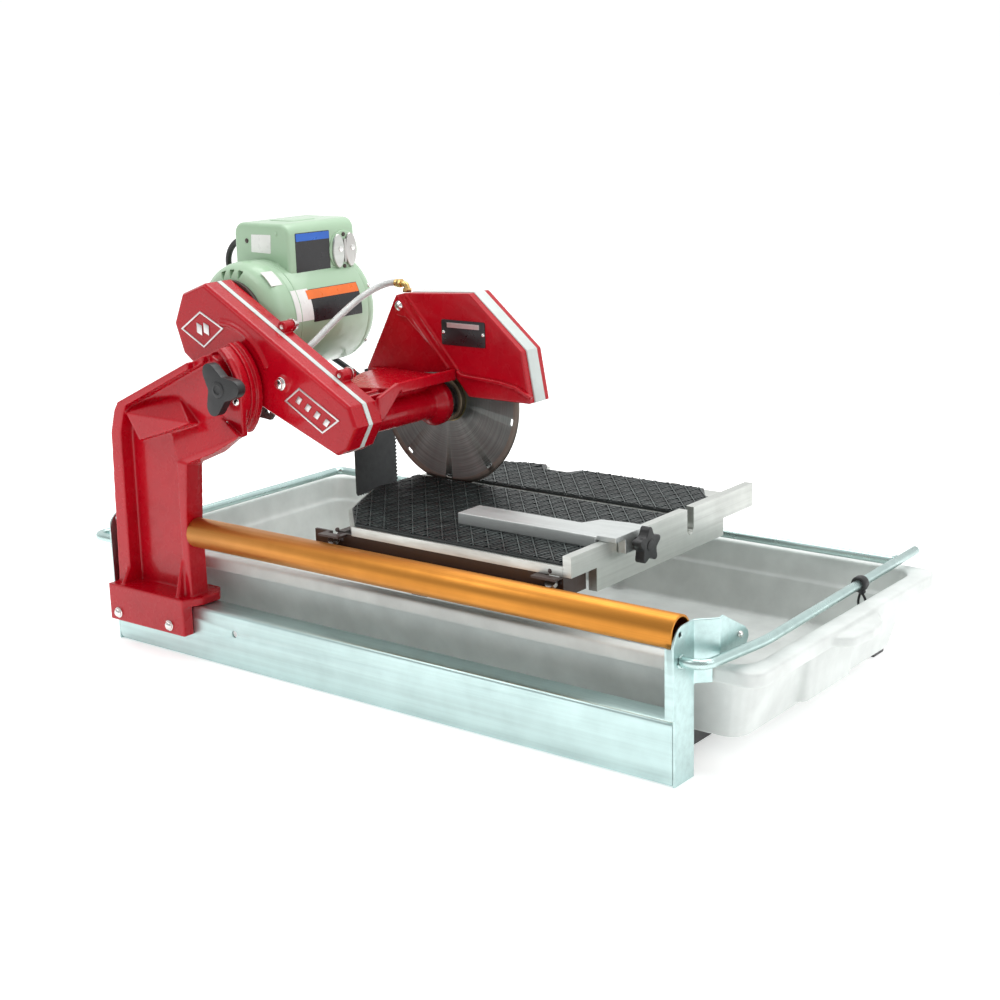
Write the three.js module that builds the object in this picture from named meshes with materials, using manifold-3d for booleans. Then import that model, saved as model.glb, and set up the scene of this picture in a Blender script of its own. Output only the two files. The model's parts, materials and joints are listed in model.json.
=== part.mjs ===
// Ten inch wet saw for tile and stone: zinc frame with a water pan, a cast post that
// carries a tilting cutting head with its motor, and a table that rolls on a round rail.
// Millimetres, +Z up, +X along the frame towards the fence, +Y away from the operator.
import * as THREE from 'three';
import { mergeVertices } from 'three/addons/utils/BufferGeometryUtils.js';
import { ConvexGeometry } from 'three/addons/geometries/ConvexGeometry.js';
import Module from 'manifold-3d';

const wasm = await Module();
wasm.setup();

// ---------------------------------------------------------------- driving dimensions
const BEAM_L = 974, BEAM_H = 80, BEAM_D = 37, SHEET = 3;      // front channel beam
const TUBE_R = 21.2, TUBE_Y = 18.5, TUBE_Z = 184.5;           // round guide rail
const ROD_R = 6.35, ROD_Z = 148, ROD_XL = -1002.4, ROD_XR = 28, ROD_Y = 524;
const BLADE_R = 127, BLADE_X = -580, BLADE_Y = 316, BLADE_Z = 350;
const PIVOT_X = -783, PIVOT_Z = 388;                          // head tilt axis, along Y
const SLOT_R = 65, STUD_ANGLE = 12;                           // lock slot radius and stud place
const MOTOR_X = -818, MOTOR_Z = 470, MOTOR_R = 83;
const HOOD_X = -645, HOOD_Z = 484;                            // hood hinge axis, along Y
const TABLE_Z0 = 214.5, TABLE_Z1 = 227, PAD_Z = 231;
const FENCE_X0 = -184.4, FENCE_X1 = -172;
const G = 0.3;                                                // gap between touching pieces

// ---------------------------------------------------------------- helpers
const D2R = Math.PI / 180;
const M_XZ = (y1) => new THREE.Matrix4().makeTranslation(0, y1, 0)
  .multiply(new THREE.Matrix4().makeRotationX(Math.PI / 2));   // shape (x,z), depth towards -Y
const M_YZ = (x0) => new THREE.Matrix4().makeTranslation(x0, 0, 0).multiply(new THREE.Matrix4().makeBasis(
  new THREE.Vector3(0, 1, 0), new THREE.Vector3(0, 0, 1), new THREE.Vector3(1, 0, 0)));

function clean(geo) {
  const g = geo.index ? geo.toNonIndexed() : geo.clone();
  for (const n of Object.keys(g.attributes)) if (n !== 'position') g.deleteAttribute(n);
  return mergeVertices(g, 1e-4);
}
function man(geo) {
  const g = clean(geo);
  return new wasm.Manifold(new wasm.Mesh({
    numProp: 3,
    vertProperties: new Float32Array(g.attributes.position.array),
    triVerts: new Uint32Array(g.index.array),
  }));
}
function geoOf(m) {
  const mesh = m.getMesh();
  const g = new THREE.BufferGeometry();
  g.setAttribute('position', new THREE.BufferAttribute(new Float32Array(mesh.vertProperties), 3));
  g.setIndex(new THREE.BufferAttribute(new Uint32Array(mesh.triVerts), 1));
  g.computeVertexNormals();
  return g;
}
const add = (...ms) => ms.reduce((a, b) => a.add(b));
const sub = (a, ...ms) => ms.reduce((x, b) => x.subtract(b), a);

const box = (x0, x1, y0, y1, z0, z1) =>
  man(new THREE.BoxGeometry(x1 - x0, y1 - y0, z1 - z0).translate((x0 + x1) / 2, (y0 + y1) / 2, (z0 + z1) / 2));
const cylY = (x, z, r, y0, y1, n = 28, r2 = r) =>
  man(new THREE.CylinderGeometry(r2, r, y1 - y0, n).translate(x, (y0 + y1) / 2, z));
const cylX = (y, z, r, x0, x1, n = 28) =>
  man(new THREE.CylinderGeometry(r, r, x1 - x0, n).rotateZ(Math.PI / 2).translate((x0 + x1) / 2, y, z));
const cylZ = (x, y, r, z0, z1, n = 28) =>
  man(new THREE.CylinderGeometry(r, r, z1 - z0, n).rotateX(Math.PI / 2).translate(x, y, (z0 + z1) / 2));

function ccw(pts) {
  let a = 0;
  for (let i = 0; i < pts.length; i++) {
    const p = pts[i], q = pts[(i + 1) % pts.length];
    a += p[0] * q[1] - q[0] * p[1];
  }
  return a < 0 ? [...pts].reverse() : pts;
}
const shapeOf = (pts) => new THREE.Shape(ccw(pts).map((p) => new THREE.Vector2(p[0], p[1])));
function ext(pts, depth, opts = {}) {
  return new THREE.ExtrudeGeometry(shapeOf(pts), { depth, bevelEnabled: false, curveSegments: 8, ...opts });
}
const prismY = (pts, y0, y1) => man(ext(pts, y1 - y0).applyMatrix4(M_XZ(y1)));
const prismX = (pts, x0, x1) => man(ext(pts, x1 - x0).applyMatrix4(M_YZ(x0)));
const prismZ = (pts, z0, z1) => man(ext(pts, z1 - z0).translate(0, 0, z0));

// outline with every corner rounded by r
function rounded(pts, r, n = 4) {
  const P = ccw(pts), out = [];
  for (let i = 0; i < P.length; i++) {
    const rr = Array.isArray(r) ? r[i] : r;
    const a = new THREE.Vector2(...P[(i + P.length - 1) % P.length]);
    const b = new THREE.Vector2(...P[i]);
    const c = new THREE.Vector2(...P[(i + 1) % P.length]);
    if (!rr) { out.push([b.x, b.y]); continue; }
    const u = a.clone().sub(b), v = c.clone().sub(b);
    const lu = u.length(), lv = v.length();
    u.normalize(); v.normalize();
    const half = Math.acos(THREE.MathUtils.clamp(u.dot(v), -1, 1)) / 2;
    const t = Math.min(rr / Math.tan(half), lu * 0.49, lv * 0.49);
    const re = t * Math.tan(half);
    const bis = u.clone().add(v).normalize();
    const o = b.clone().add(bis.multiplyScalar(re / Math.sin(half)));
    const p0 = b.clone().add(u.multiplyScalar(t)), p1 = b.clone().add(v.multiplyScalar(t));
    let a0 = Math.atan2(p0.y - o.y, p0.x - o.x), a1 = Math.atan2(p1.y - o.y, p1.x - o.x);
    let d = a1 - a0;
    while (d > Math.PI) d -= 2 * Math.PI;
    while (d < -Math.PI) d += 2 * Math.PI;
    for (let k = 0; k <= n; k++) out.push([o.x + re * Math.cos(a0 + d * k / n), o.y + re * Math.sin(a0 + d * k / n)]);
  }
  return out;
}
// outline moved outwards by d (mitred)
function offset(pts, d) {
  const P = ccw(pts), n = P.length, out = [];
  for (let i = 0; i < n; i++) {
    const a = P[(i + n - 1) % n], b = P[i], c = P[(i + 1) % n];
    const n1 = [b[1] - a[1], a[0] - b[0]], n2 = [c[1] - b[1], b[0] - c[0]];
    const l1 = Math.hypot(...n1), l2 = Math.hypot(...n2);
    n1[0] /= l1; n1[1] /= l1; n2[0] /= l2; n2[1] /= l2;
    const k = 1 + n1[0] * n2[0] + n1[1] * n2[1];
    out.push([b[0] + d * (n1[0] + n2[0]) / k, b[1] + d * (n1[1] + n2[1]) / k]);
  }
  return out;
}
const arc = (cx, cy, r, a0, a1, n) => Array.from({ length: n + 1 }, (_, i) => {
  const a = (a0 + (a1 - a0) * i / n) * D2R;
  return [cx + r * Math.cos(a), cy + r * Math.sin(a)];
});
// a path through given points, taken point by point
class PointPath extends THREE.Curve {
  constructor(p) { super(); this.p = p.map((q) => new THREE.Vector3(...q)); }
  getPoint(t) {
    const s = t * (this.p.length - 1), i = Math.min(Math.floor(s), this.p.length - 2);
    return this.p[i].clone().lerp(this.p[i + 1], s - i);
  }
  getPointAt(t) { return this.getPoint(t); }
  getSpacedPoints() { return this.p.map((q) => q.clone()); }
  getTangentAt(t) {
    const i = Math.round(t * (this.p.length - 1));
    const a = this.p[Math.max(i - 1, 0)], b = this.p[i], c = this.p[Math.min(i + 1, this.p.length - 1)];
    const u = b.clone().sub(a).normalize(), v = c.clone().sub(b).normalize();
    return u.add(v).normalize();
  }
}
function tubeAlong(pts, r, sides = 10) {
  const sec = Array.from({ length: sides }, (_, i) => [r * Math.cos(2 * Math.PI * (i + 0.5) / sides), r * Math.sin(2 * Math.PI * (i + 0.5) / sides)]);
  return new THREE.ExtrudeGeometry(shapeOf(sec), { steps: pts.length - 1, extrudePath: new PointPath(pts), bevelEnabled: false });
}
// a polyline whose corners are rounded by r, for bent rods
function bent(pts, r, n = 6) {
  const V = pts.map((p) => new THREE.Vector3(...p)), out = [V[0].toArray()];
  for (let i = 1; i < V.length - 1; i++) {
    const u = V[i - 1].clone().sub(V[i]).normalize(), v = V[i + 1].clone().sub(V[i]).normalize();
    const rr = Array.isArray(r) ? r[i - 1] : r;
    const half = u.angleTo(v) / 2, t = rr / Math.tan(half);
    const o = V[i].clone().add(u.clone().add(v).normalize().multiplyScalar(rr / Math.sin(half)));
    const p0 = V[i].clone().add(u.multiplyScalar(t)).sub(o), p1 = V[i].clone().add(v.multiplyScalar(t)).sub(o);
    const ang = p0.angleTo(p1);
    for (let k = 0; k <= n; k++) {
      const s = k / n;
      out.push(p0.clone().multiplyScalar(Math.sin((1 - s) * ang) / Math.sin(ang))
        .add(p1.clone().multiplyScalar(Math.sin(s * ang) / Math.sin(ang))).add(o).toArray());
    }
  }
  out.push(V[V.length - 1].toArray());
  return out;
}
function spline(pts, steps) {
  return new THREE.CatmullRomCurve3(pts.map((p) => new THREE.Vector3(...p)), false, 'centripetal')
    .getSpacedPoints(steps).map((p) => p.toArray());
}
const lathe = (prof, n = 32) => new THREE.LatheGeometry(prof.map((p) => new THREE.Vector2(p[0], p[1])), n);
// a turned piece on an axis along Y: profile (radius, y)
const turnY = (x, z, prof, n = 32) => man(lathe(prof, n).translate(x, 0, z));

// ---------------------------------------------------------------- materials
const mat = (color, roughness, metalness) => new THREE.MeshStandardMaterial({ color, roughness, metalness });
const RED = mat(0xb8061c, 0.25, 0.1), ZINC = mat(0xb9cfd2, 0.32, 0.85), GOLD = mat(0xd9912f, 0.28, 0.9);
const WHITE = mat(0xeef0ee, 0.45, 0), MINT = mat(0xa9ccab, 0.35, 0.05), BLACK = mat(0x1a1a1b, 0.6, 0);
const ALU = mat(0xc6c7c2, 0.4, 0.9), STEEL = mat(0x8d8c88, 0.3, 1), BRASS = mat(0xc9a14a, 0.3, 1);
const GREY = mat(0xc9cfcd, 0.55, 0), DARK = mat(0x3b332f, 0.5, 0.6), RUBBER = mat(0x222426, 0.8, 0);
const CLEAR = mat(0xdfe4e2, 0.15, 0), BLADEM = mat(0x9a958d, 0.3, 1);

const root = new THREE.Group();
const frame = new THREE.Group(), head = new THREE.Group(), cart = new THREE.Group(), cord = new THREE.Group();
root.add(frame, head, cart, cord);
function put(group, name, thing, material) {
  const g = thing instanceof THREE.BufferGeometry ? geoOf(man(thing)) : geoOf(thing);
  const m = new THREE.Mesh(g, material);
  m.name = name;
  group.add(m);
}

// ================================================================= frame
// channel beam, open to the rear, between the two end uprights
{
  let b = sub(box(-BEAM_L + SHEET + G, -SHEET - G, 0, BEAM_D, 0, BEAM_H),
    box(-BEAM_L - 5, 5, SHEET, BEAM_D + 5, SHEET, BEAM_H - SHEET));
  b = b.subtract(cylY(-724, 52, 5, -2, 5, 12)).intersect(prismY(rounded([[-980, 0], [5, 0], [5, 90], [-980, 90]], [12, 0, 0, 0], 4).map(([x, z]) => [Math.max(x, -980) + (x < -900 ? 9.3 : 0), z]), -5, 50));
  put(frame, 'front_beam', b, ZINC);
}
// end upright: flat web with a round head over the rail end, a short front flange above
// the beam, and a wing bent outwards to reach the rod
function upright(sign) {
  const X = (x) => (sign > 0 ? x : -BEAM_L - x);
  const head_ = arc(21, 170, 24.2, 90, 180, 8);
  const web = prismX([[0, 0], [43, 0], [43, 194.2], ...head_, [-3.2, 84], [0, 84]], -SHEET, 0);
  const flange = box(-12, 0, -3.2, -0.4, 84, 170);
  const wing1 = prismZ([[0, 43 - 0.01], [-SHEET, 43 - 0.01], [-SHEET, 44.5], [18.6, 65.5], [21.6, 65.5], [21.6, 64], [0, 42]], 116, 194.2);
  const wing2 = prismX([[64, 136], [112, 138], [126, 145], [131, 153], [129.5, 161], [122, 168], [72, 195.4], [64, 194.2]], 18.6, 21.6);
  let g = sub(add(web, wing1, wing2), box(-30, 60, 58, 140, 90, 135.6));
  if (sign > 0) g = add(g, flange);
  g = sub(g, cylX(12, 184, 3.2, -20, 20, 12));
  const m = sign > 0 ? g : g.mirror([1, 0, 0]).translate([-BEAM_L, 0, 0]);
  return m;
}
put(frame, 'end_upright_right', upright(1), ZINC);
put(frame, 'end_upright_left', upright(-1), ZINC);

// anodised guide rail between the post and the right upright
put(frame, 'guide_tube', sub(cylX(TUBE_Y, TUBE_Z, TUBE_R, -806.4, -SHEET - G, 36),
  cylX(TUBE_Y, TUBE_Z, TUBE_R - 3, -820, 20, 36)), GOLD);

// rod: leaves the left upright, runs back, turns along the rear as the table's rear rail
put(frame, 'rail_rod', tubeAlong(bent([
  [-BEAM_L - G, 13, ROD_Z], [-1034, 13, ROD_Z], [ROD_XL, 86, ROD_Z], [ROD_XL, ROD_Y, ROD_Z], [23.3, ROD_Y, ROD_Z]], 15, 6), ROD_R, 12), ZINC);
put(frame, 'side_rod', tubeAlong(bent([
  [G, 13, 152], [30, 13, 152], [43.5, 130, 151], [28, 584, 149]], [20, 300], 7), ROD_R, 12), ZINC);

// rubber clip round the side rod with a short hanging strap
const CLIP_X = 34.3, CLIP_Z = 149.8;
{
  const ring = sub(man(new THREE.TorusGeometry(9.6, 2.8, 8, 20).rotateX(Math.PI / 2).scale(1, 2.1, 1).translate(CLIP_X, 400, CLIP_Z)));
  const strap = man(tubeAlong(spline([[CLIP_X, 400, CLIP_Z - 10], [CLIP_X + 2, 399, CLIP_Z - 22], [CLIP_X + 1, 397, CLIP_Z - 34], [CLIP_X - 2, 393, CLIP_Z - 46]], 6), 2.4, 8));
  put(frame, 'rod_clip', sub(add(ring, strap), cylY(CLIP_X, CLIP_Z, ROD_R + 0.8, 380, 420, 24)), BLACK);
}
// black cross members under the pan and the rear foot bar
put(frame, 'cross_member_left', box(-924, -884, BEAM_D + G, 533.7, 0, 32), BLACK);
put(frame, 'cross_member_right', box(-90, -50, BEAM_D + G, 533.7, 0, 32), BLACK);
put(frame, 'rear_foot_bar', box(-BEAM_L + 6, -6, 534, 566, 0, 32), BLACK);

// water pan: basin with a ledge all round and a rolled lip, drip nose on the right end
{
  const X0 = -1048, X1 = 74, Y0 = 62, Y1 = 560, LZ = 114, LT = 134;
  const rr = (x0, x1, y0, y1, r, n = 4) => rounded([[x0, y0], [x1, y0], [x1, y1], [x0, y1]], r, n);
  const nose = [[X1 - 30, 236], [X1, 244], [X1 + 22, 262], [X1 + 28, 300], [X1 + 22, 340], [X1, 372], [X1 - 30, 380]];
  // tapered basin from two loops joined by straight sides
  function loft(a, za, b, zb) {
    const n = a.length, pos = [];
    const P = (l, z, i) => [l[i % n][0], l[i % n][1], z];
    const tri = (...p) => p.forEach((q) => pos.push(...q));
    for (let i = 0; i < n; i++) {
      tri(P(a, za, i), P(a, za, i + 1), P(b, zb, i + 1));
      tri(P(a, za, i), P(b, zb, i + 1), P(b, zb, i));
    }
    const cap = THREE.ShapeUtils.triangulateShape(a.map((p) => new THREE.Vector2(...p)), []);
    for (const t of cap) { tri(P(a, za, t[0]), P(a, za, t[2]), P(a, za, t[1])); tri(P(b, zb, t[0]), P(b, zb, t[1]), P(b, zb, t[2])); }
    const g = new THREE.BufferGeometry();
    g.setAttribute('position', new THREE.BufferAttribute(new Float32Array(pos), 3));
    return man(g);
  }
  const outer = add(
    prismZ(rounded([[X0, Y0], [X1, Y0], [X1, Y1], [X0, Y1]], 22, 5), LZ, LT),
    prismZ(rounded(nose, 8, 3), LZ, LT - 6),
    loft(rr(-1004, 30, 96, 520, 26), 32.5, rr(-1024, 50, 78, 542, 30), LZ + 2),
    loft(rounded([[20, 226], [46, 230], [46, 352], [20, 392]], 8, 3), 40, rounded([[20, 226], [54, 230], [54, 352], [20, 392]], 8, 3), LZ + 2));
  const inner = add(
    loft(rr(-999, 25, 101, 515, 24), 37.5, rr(-1012, 38, 90, 528, 26), 96),
    loft(rr(-1016, 42, 88, 532, 26), 96 - 0.5, rr(-1022, 48, 84, 538, 28), LT + 2),
    loft(rounded([[20, 234], [42, 236], [42, 346], [20, 382]], 6, 3), 46, rounded([[20, 232], [48, 235], [48, 348], [20, 386]], 6, 3), LT + 2));
  // the lip is a rolled edge, hollow underneath
  const under = sub(
    prismZ(rounded([[X0 + 4, Y0 + 4], [X1 - 4, Y0 + 4], [X1 - 4, Y1 - 4], [X0 + 4, Y1 - 4]], 18, 5), LZ - 5, LT - 5),
    loft(rr(-1024, 50, 78, 542, 30), LZ - 6, rr(-1026, 52, 76, 544, 30), LT - 4));
  const pan = sub(outer, inner, under.subtract(loft(rounded([[20, 226], [46, 230], [46, 352], [20, 392]], 8, 3), 40, rounded([[20, 226], [54, 230], [54, 352], [20, 392]], 8, 3), LT)),
    cylY(-420, 60, 9.3, 500, 560, 20));
  put(frame, 'water_pan', pan, WHITE);
  // drain plug, low in the rear wall
  put(frame, 'drain_plug', turnY(-420, 60, [[0, 506], [6, 506], [9, 509], [9, 533], [14, 533.5], [14, 541], [7, 543], [7, 550], [0, 550]], 20), BLACK);
}

// pivot disc radius, and the half plane under the post's sloping top edge
const DISC_R = 80;
const underTop = (d) => {
  const z = (x) => 362 + 0.4579 * (x + 938) + d;
  return [[-1100, 0], [-300, 0], [-300, z(-300)], [-1100, z(-1100)]];
};
// cast post: back wall, ribs round two pockets, saddle over the beam, round pivot plate
{
  const back = [[-965, 91], [-955, 318], [-945, 350], [-936, 363], [-796, 427], [-738, 453.5], [-724, 440], [-711, 418],
    [-704, 400], [-704, 334], [-742, 318], [-776, 304], [-800, 283], [-806.8, 205], [-806.8, 91]];
  const P = [prismY(back, 22, 32)];
  P.push(prismY([[-965, 91], [-955, 318], [-945, 350], [-936, 363], [-920, 358], [-926, 345], [-934, 318], [-938, 91]], 0, 23));   // left rib
  P.push(prismY([[-938, 362], [-781, 433.9], [-781, 423.9], [-930, 354]], 0, 23), prismY([[-790, 429.7], [-762, 442.6], [-762, 432.6], [-790, 419.7]], 11, 23));                                            // top rib
  P.push(prismY([[-823, 91], [-819, 290], [-798, 288], [-806.8, 205], [-806.8, 91]], 0, 23));                                  // right rib
  const hull = (pts) => man(new ConvexGeometry(pts.map((p) => new THREE.Vector3(...p))));
  // two sloping shelves, one above the other, that stiffen the pivot plate
  P.push(hull([[-938, 23, 360], [-922, 3, 348], [-830, 23, 379.7], [-808, 23, 354], [-897, 3, 311], [-842, 3, 328.6], [-789, 3, 347.4], [-918, 23, 305], [-789, 23, 343]]));
  P.push(hull([[-852, 23, 327], [-752, 23, 361], [-730, 12, 337], [-690, 1, 339], [-742, 1, 311], [-801, 1, 288], [-819, 1, 289], [-819, 23, 284], [-801, 23, 283], [-742, 23, 308], [-706, 23, 333]]));
  // gusset at the foot of the right rib
  P.push(prismX([[-15, 91], [1, 150], [1, 91]], -826, -820));
  P.push(prismX([[-15, 91], [1, 118], [1, 91]], -944, -938));
  // saddle: apron in front of the beam and shelf on top of it
  P.push(box(-967, -807, -19, -G, 37, 92));
  P.push(prismZ(rounded([[-967, -19], [-807, -19], [-792, 10], [-792, 40], [-812, 60], [-967, 60]], 5, 2), BEAM_H + G, 92));
  P.push(add(cylY(PIVOT_X, PIVOT_Z, DISC_R, 28, 42, 48), cylY(PIVOT_X, PIVOT_Z, DISC_R - 4, 24, 29, 44)).intersect(prismY(underTop(0), 20, 50)).intersect(prismY([[-900, 254], [-776, 305], [-742, 319], [-704, 335], [-640, 362], [-640, 600], [-900, 600]], 20, 50)));
  let post = add(...P);
  const slotPts = [...arc(PIVOT_X, PIVOT_Z, SLOT_R + 5.6, 6, 64, 12), ...arc(PIVOT_X, PIVOT_Z, SLOT_R - 5.6, 64, 6, 12)];
  post = sub(post, prismY(slotPts, 15, 50), cylY(PIVOT_X, PIVOT_Z, 12 + G, 27, 50, 28));
  for (const x of [-947, -837]) post = post.subtract(cylY(x, 50, 4.3, -25, 2, 16));
  // lightening pocket behind the lower beam is open at the back
  post = sub(post, box(-905, -835, 27, 40, 110, 285));
  put(frame, 'post_casting', post, RED);
  for (const [n, x] of [['post_bolt_left', -947], ['post_bolt_right', -837]])
    put(frame, n, turnY(x, 50, [[0, -24.5], [3, -24.2], [5.6, -22.6], [6.8, -19.3], [4, -19.3], [4, -0.3], [0, -0.3]], 16), ALU);
  put(frame, 'pivot_pin', turnY(PIVOT_X, PIVOT_Z, [[0, 27.4], [11, 27.4], [12, 28.4], [12, 66.5], [0, 66.5]], 28), STEEL);
}

// ================================================================= cutting head
// belt guard outline in the XZ plane, at its front face
const GUARD = [[-814, 528], [-858, 512], [-876.5, 472], [-862, 431], [-848, 421], [-576, 316], [-558, 324.5], [-541, 355], [-551, 380]];
const GUARD_SIDE = offset(GUARD, 3.5);
const lowerLine = (d) => { // half plane above the guard's lower edge moved down by d
  const a = [-848, 421 - d], b = [-576, 316 - d];
  const s = (b[1] - a[1]) / (b[0] - a[0]);
  return [[-1100, a[1] + s * (-1100 - a[0])], [-300, a[1] + s * (-300 - a[0])], [-300, 900], [-1100, 900]];
};
{
  // front half, with the boss that turns against the post's plate
  const body = man(ext(GUARD, 60, { bevelEnabled: true, bevelThickness: 4.5, bevelSize: 3.5, bevelOffset: 0, bevelSegments: 1 })
    .applyMatrix4(M_XZ(68 + 4.5 + 60))).subtract(box(-1200, 0, 94.7, 200, 0, 900));
  let shell = sub(body, prismY(offset(GUARD, -2), 73, 98));
  const boss = add(cylY(PIVOT_X, PIVOT_Z, DISC_R, 42.5, 50, 44), cylY(PIVOT_X, PIVOT_Z, DISC_R - 3.5, 49, 56, 44), cylY(PIVOT_X, PIVOT_Z, DISC_R, 55, 64, 44),
    cylY(PIVOT_X, PIVOT_Z, 72, 60, 70, 40)).intersect(prismY(lowerLine(44), 40, 80)).intersect(prismY(underTop(6), 40, 80));
  const footing = cylY(PIVOT_X, PIVOT_Z, 72, 64, 73, 40).intersect(prismY(lowerLine(44), 60, 80)).intersect(prismY(underTop(6), 60, 80));
  shell = add(shell, boss, footing, cylY(-667, 404, 9, 62, 69, 20));
  const sa = STUD_ANGLE * D2R, sx = PIVOT_X + SLOT_R * Math.cos(sa), sz = PIVOT_Z + SLOT_R * Math.sin(sa);
  shell = sub(shell, cylY(PIVOT_X, PIVOT_Z, 12.11, 30, 68, 28), cylY(sx, sz, 5.3, 40, 62, 16), cylY(-667, 404, 4.3, 60, 80, 12));
  put(head, 'belt_guard_outer', shell, RED);
  put(head, 'guard_gasket', sub(prismY(GUARD_SIDE, 95, 103 - G), prismY(offset(GUARD, -3), 90, 110)), GREY);
  put(head, 'guard_hex_bolt', add(prismY(arc(-667, 404, 6.6, 0, 300, 5), 57, 61.7), cylY(-667, 404, 4, 61.6, 92, 12)), STEEL);

  // rear half of the guard, cast in one with the spindle arm
  let hc = sub(prismY(GUARD_SIDE, 103, 122), prismY(offset(GUARD, -2), 102, 116));
  const arm = [cylY(BLADE_X, BLADE_Z, 21, 121, 262, 28),
    turnY(BLADE_X, BLADE_Z, [[0, 250], [21, 250], [23, 262], [31, 272], [33.5, 276], [33.5, 286], [0, 286]], 32),
    turnY(BLADE_X, BLADE_Z, [[0, 121], [30, 121], [22, 140], [0, 140]], 28)];
  const plate = prismZ([[-640, 150], [-607, 146], [-547, 172], [-546, 286], [-655, 286], [-655, 293.6], [-684, 293.6], [-680, 240]], 384, 391);
  const webs = [prismX([[121, 352], [286, 352], [286, 388], [121, 388]], -584, -576),
    prismX([[168, 385], [286, 385], [286, 400.5], [172, 400.5]], -548, -541),
    prismX([[121, 352], [130, 355], [168, 390], [172, 400.5], [160, 400.5], [121, 387]], -547, -541),
    prismX([[121, 361], [121, 388], [160, 388]], -562, -556),
    prismX([[270, 340], [286, 340], [286, 388], [262, 388]], -604, -598)];
  const ears = [cylY(-700, 474, 8, 103, 122, 16), cylY(-596, 415, 8, 103, 122, 16)];
  hc = add(hc, ...arm, plate, ...webs, ...ears);
  // hose barb on the guard's back and pads for the motor
  hc = add(hc, cylY(-690, 440, 5, 121, 130, 12), cylY(-690, 440, 7, 121, 125, 12));
  hc = sub(hc, cylY(BLADE_X, BLADE_Z, 11, 100, 300, 24), cylY(BLADE_X, BLADE_Z, 17 + G, 108, 132, 28), cylY(BLADE_X, BLADE_Z, 17 + G, 272, 300, 28),
    cylY(MOTOR_X, MOTOR_Z, 16, 100, 140, 28), cylY(-700, 474, 3.3, 100, 130, 12), cylY(-596, 415, 3.3, 100, 130, 12));
  put(head, 'head_casting', hc, RED);
  for (const [n, x, z] of [['guard_bolt_upper', -700, 474], ['guard_bolt_lower', -596, 415]])
    put(head, n, add(prismY(arc(x, z, 7.2, 0, 300, 5), 122 + G, 128), cylY(x, z, 3, 104, 123, 12)), STEEL);
}
// angle of the cord's strain relief, from straight up towards the left end, 20 degrees below level
const GLAND_A = 110 * D2R;
// motor: dark mount plate, front end bell, shell with the rear end, rotor with its shaft
{
  let mp = add(cylY(MOTOR_X, MOTOR_Z, 60, 122 + G, 127.7, 36),
    prismY([[-860, 428], [-842, 372], [-800, 338], [-752, 334], [-742, 346], [-752, 360], [-772, 372], [-778, 440]], 122 + G, 127.7));
  mp = sub(mp, cylY(MOTOR_X, MOTOR_Z, 22, 110, 140, 28), cylY(-757, 347, 5, 110, 140, 12));
  put(head, 'motor_mount', mp, DARK);
  const prof = [[26, 128], [62, 128], [74, 134], [81, 146], [83.4, 160], [83.4, 168], [76, 168], [74, 150], [60, 136], [26, 136], [26, 128]];
  let bell = turnY(MOTOR_X, MOTOR_Z, prof, 40);
  for (const a of [60, 84, 108, 132]) {
    const cx = MOTOR_X + 63 * Math.cos(a * D2R), cz = MOTOR_Z + 63 * Math.sin(a * D2R);
    bell = bell.subtract(cylY(cx, cz, 6, 120, 150, 3));
  }
  bell = add(bell, sub(cylY(MOTOR_X, MOTOR_Z, 28, 128, 138, 28), cylY(MOTOR_X, MOTOR_Z, 9, 120, 150, 24)));
  put(head, 'motor_end_bell', bell, MINT);
  put(head, 'motor_shell', turnY(MOTOR_X, MOTOR_Z, [[60, 168 + G], [82.5, 168 + G], [82.5, 326], [79, 338], [68, 345], [30, 347], [9, 347],
    [9, 336], [60, 326], [60, 168 + G]], 40), MINT);
  put(head, 'motor_shaft', turnY(MOTOR_X, MOTOR_Z, [[0, 78], [8, 78], [8, 178], [52, 178], [52, 318], [8, 318], [8, 345], [0, 345]], 28), STEEL);
  // conduit box saddled on the motor
  const bx = rounded([[-876, 528], [-766, 528], [-766, 604], [-876, 604]], [0, 0, 14, 14], 4);
  let cb = sub(prismY(bx, 192, 332), cylY(MOTOR_X, MOTOR_Z, 83.2, 180, 340, 48), box(-870, -772, 198, 326, 480, 598),
    man(lathe([[0, -30], [6.9, -30], [6.9, 30], [0, 30]], 16).rotateX(Math.PI / 2).rotateY(-GLAND_A).translate(-876, 225, 582.7)));
  cb = add(cb, box(-840, -800, 246, 278, 597, 605));
  // round cover plate of the outlet on the right face
  cb = add(cb, cylX(318 - 0, 558, 28, -767, -763, 28).intersect(box(-800, -700, 280, 340, 500, 620)).add(cylX(298, 558, 28, -767, -763, 28)));
  cb = sub(cb, cylY(MOTOR_X, MOTOR_Z, 83.2, 180, 345, 48));
  put(head, 'conduit_box', cb, MINT);
  const lid = (y0, y1) => cylX(306, 558, 27, -763 + G, -759.5, 32).intersect(box(-800, -700, y0, y1, 500, 620));
  put(head, 'outlet_lid_front', lid(270, 305.2), ALU);
  put(head, 'outlet_lid_rear', lid(306.8, 340), ALU);
  put(head, 'cord_gland', man(lathe([[0, -10], [6, -10], [6, 5.6], [10, 6], [10, 10], [7, 13], [5.2, 23.6], [0, 23.6]], 20).rotateX(Math.PI / 2).rotateY(-GLAND_A).translate(-876, 225, 582.7)), BLACK);
}
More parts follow.
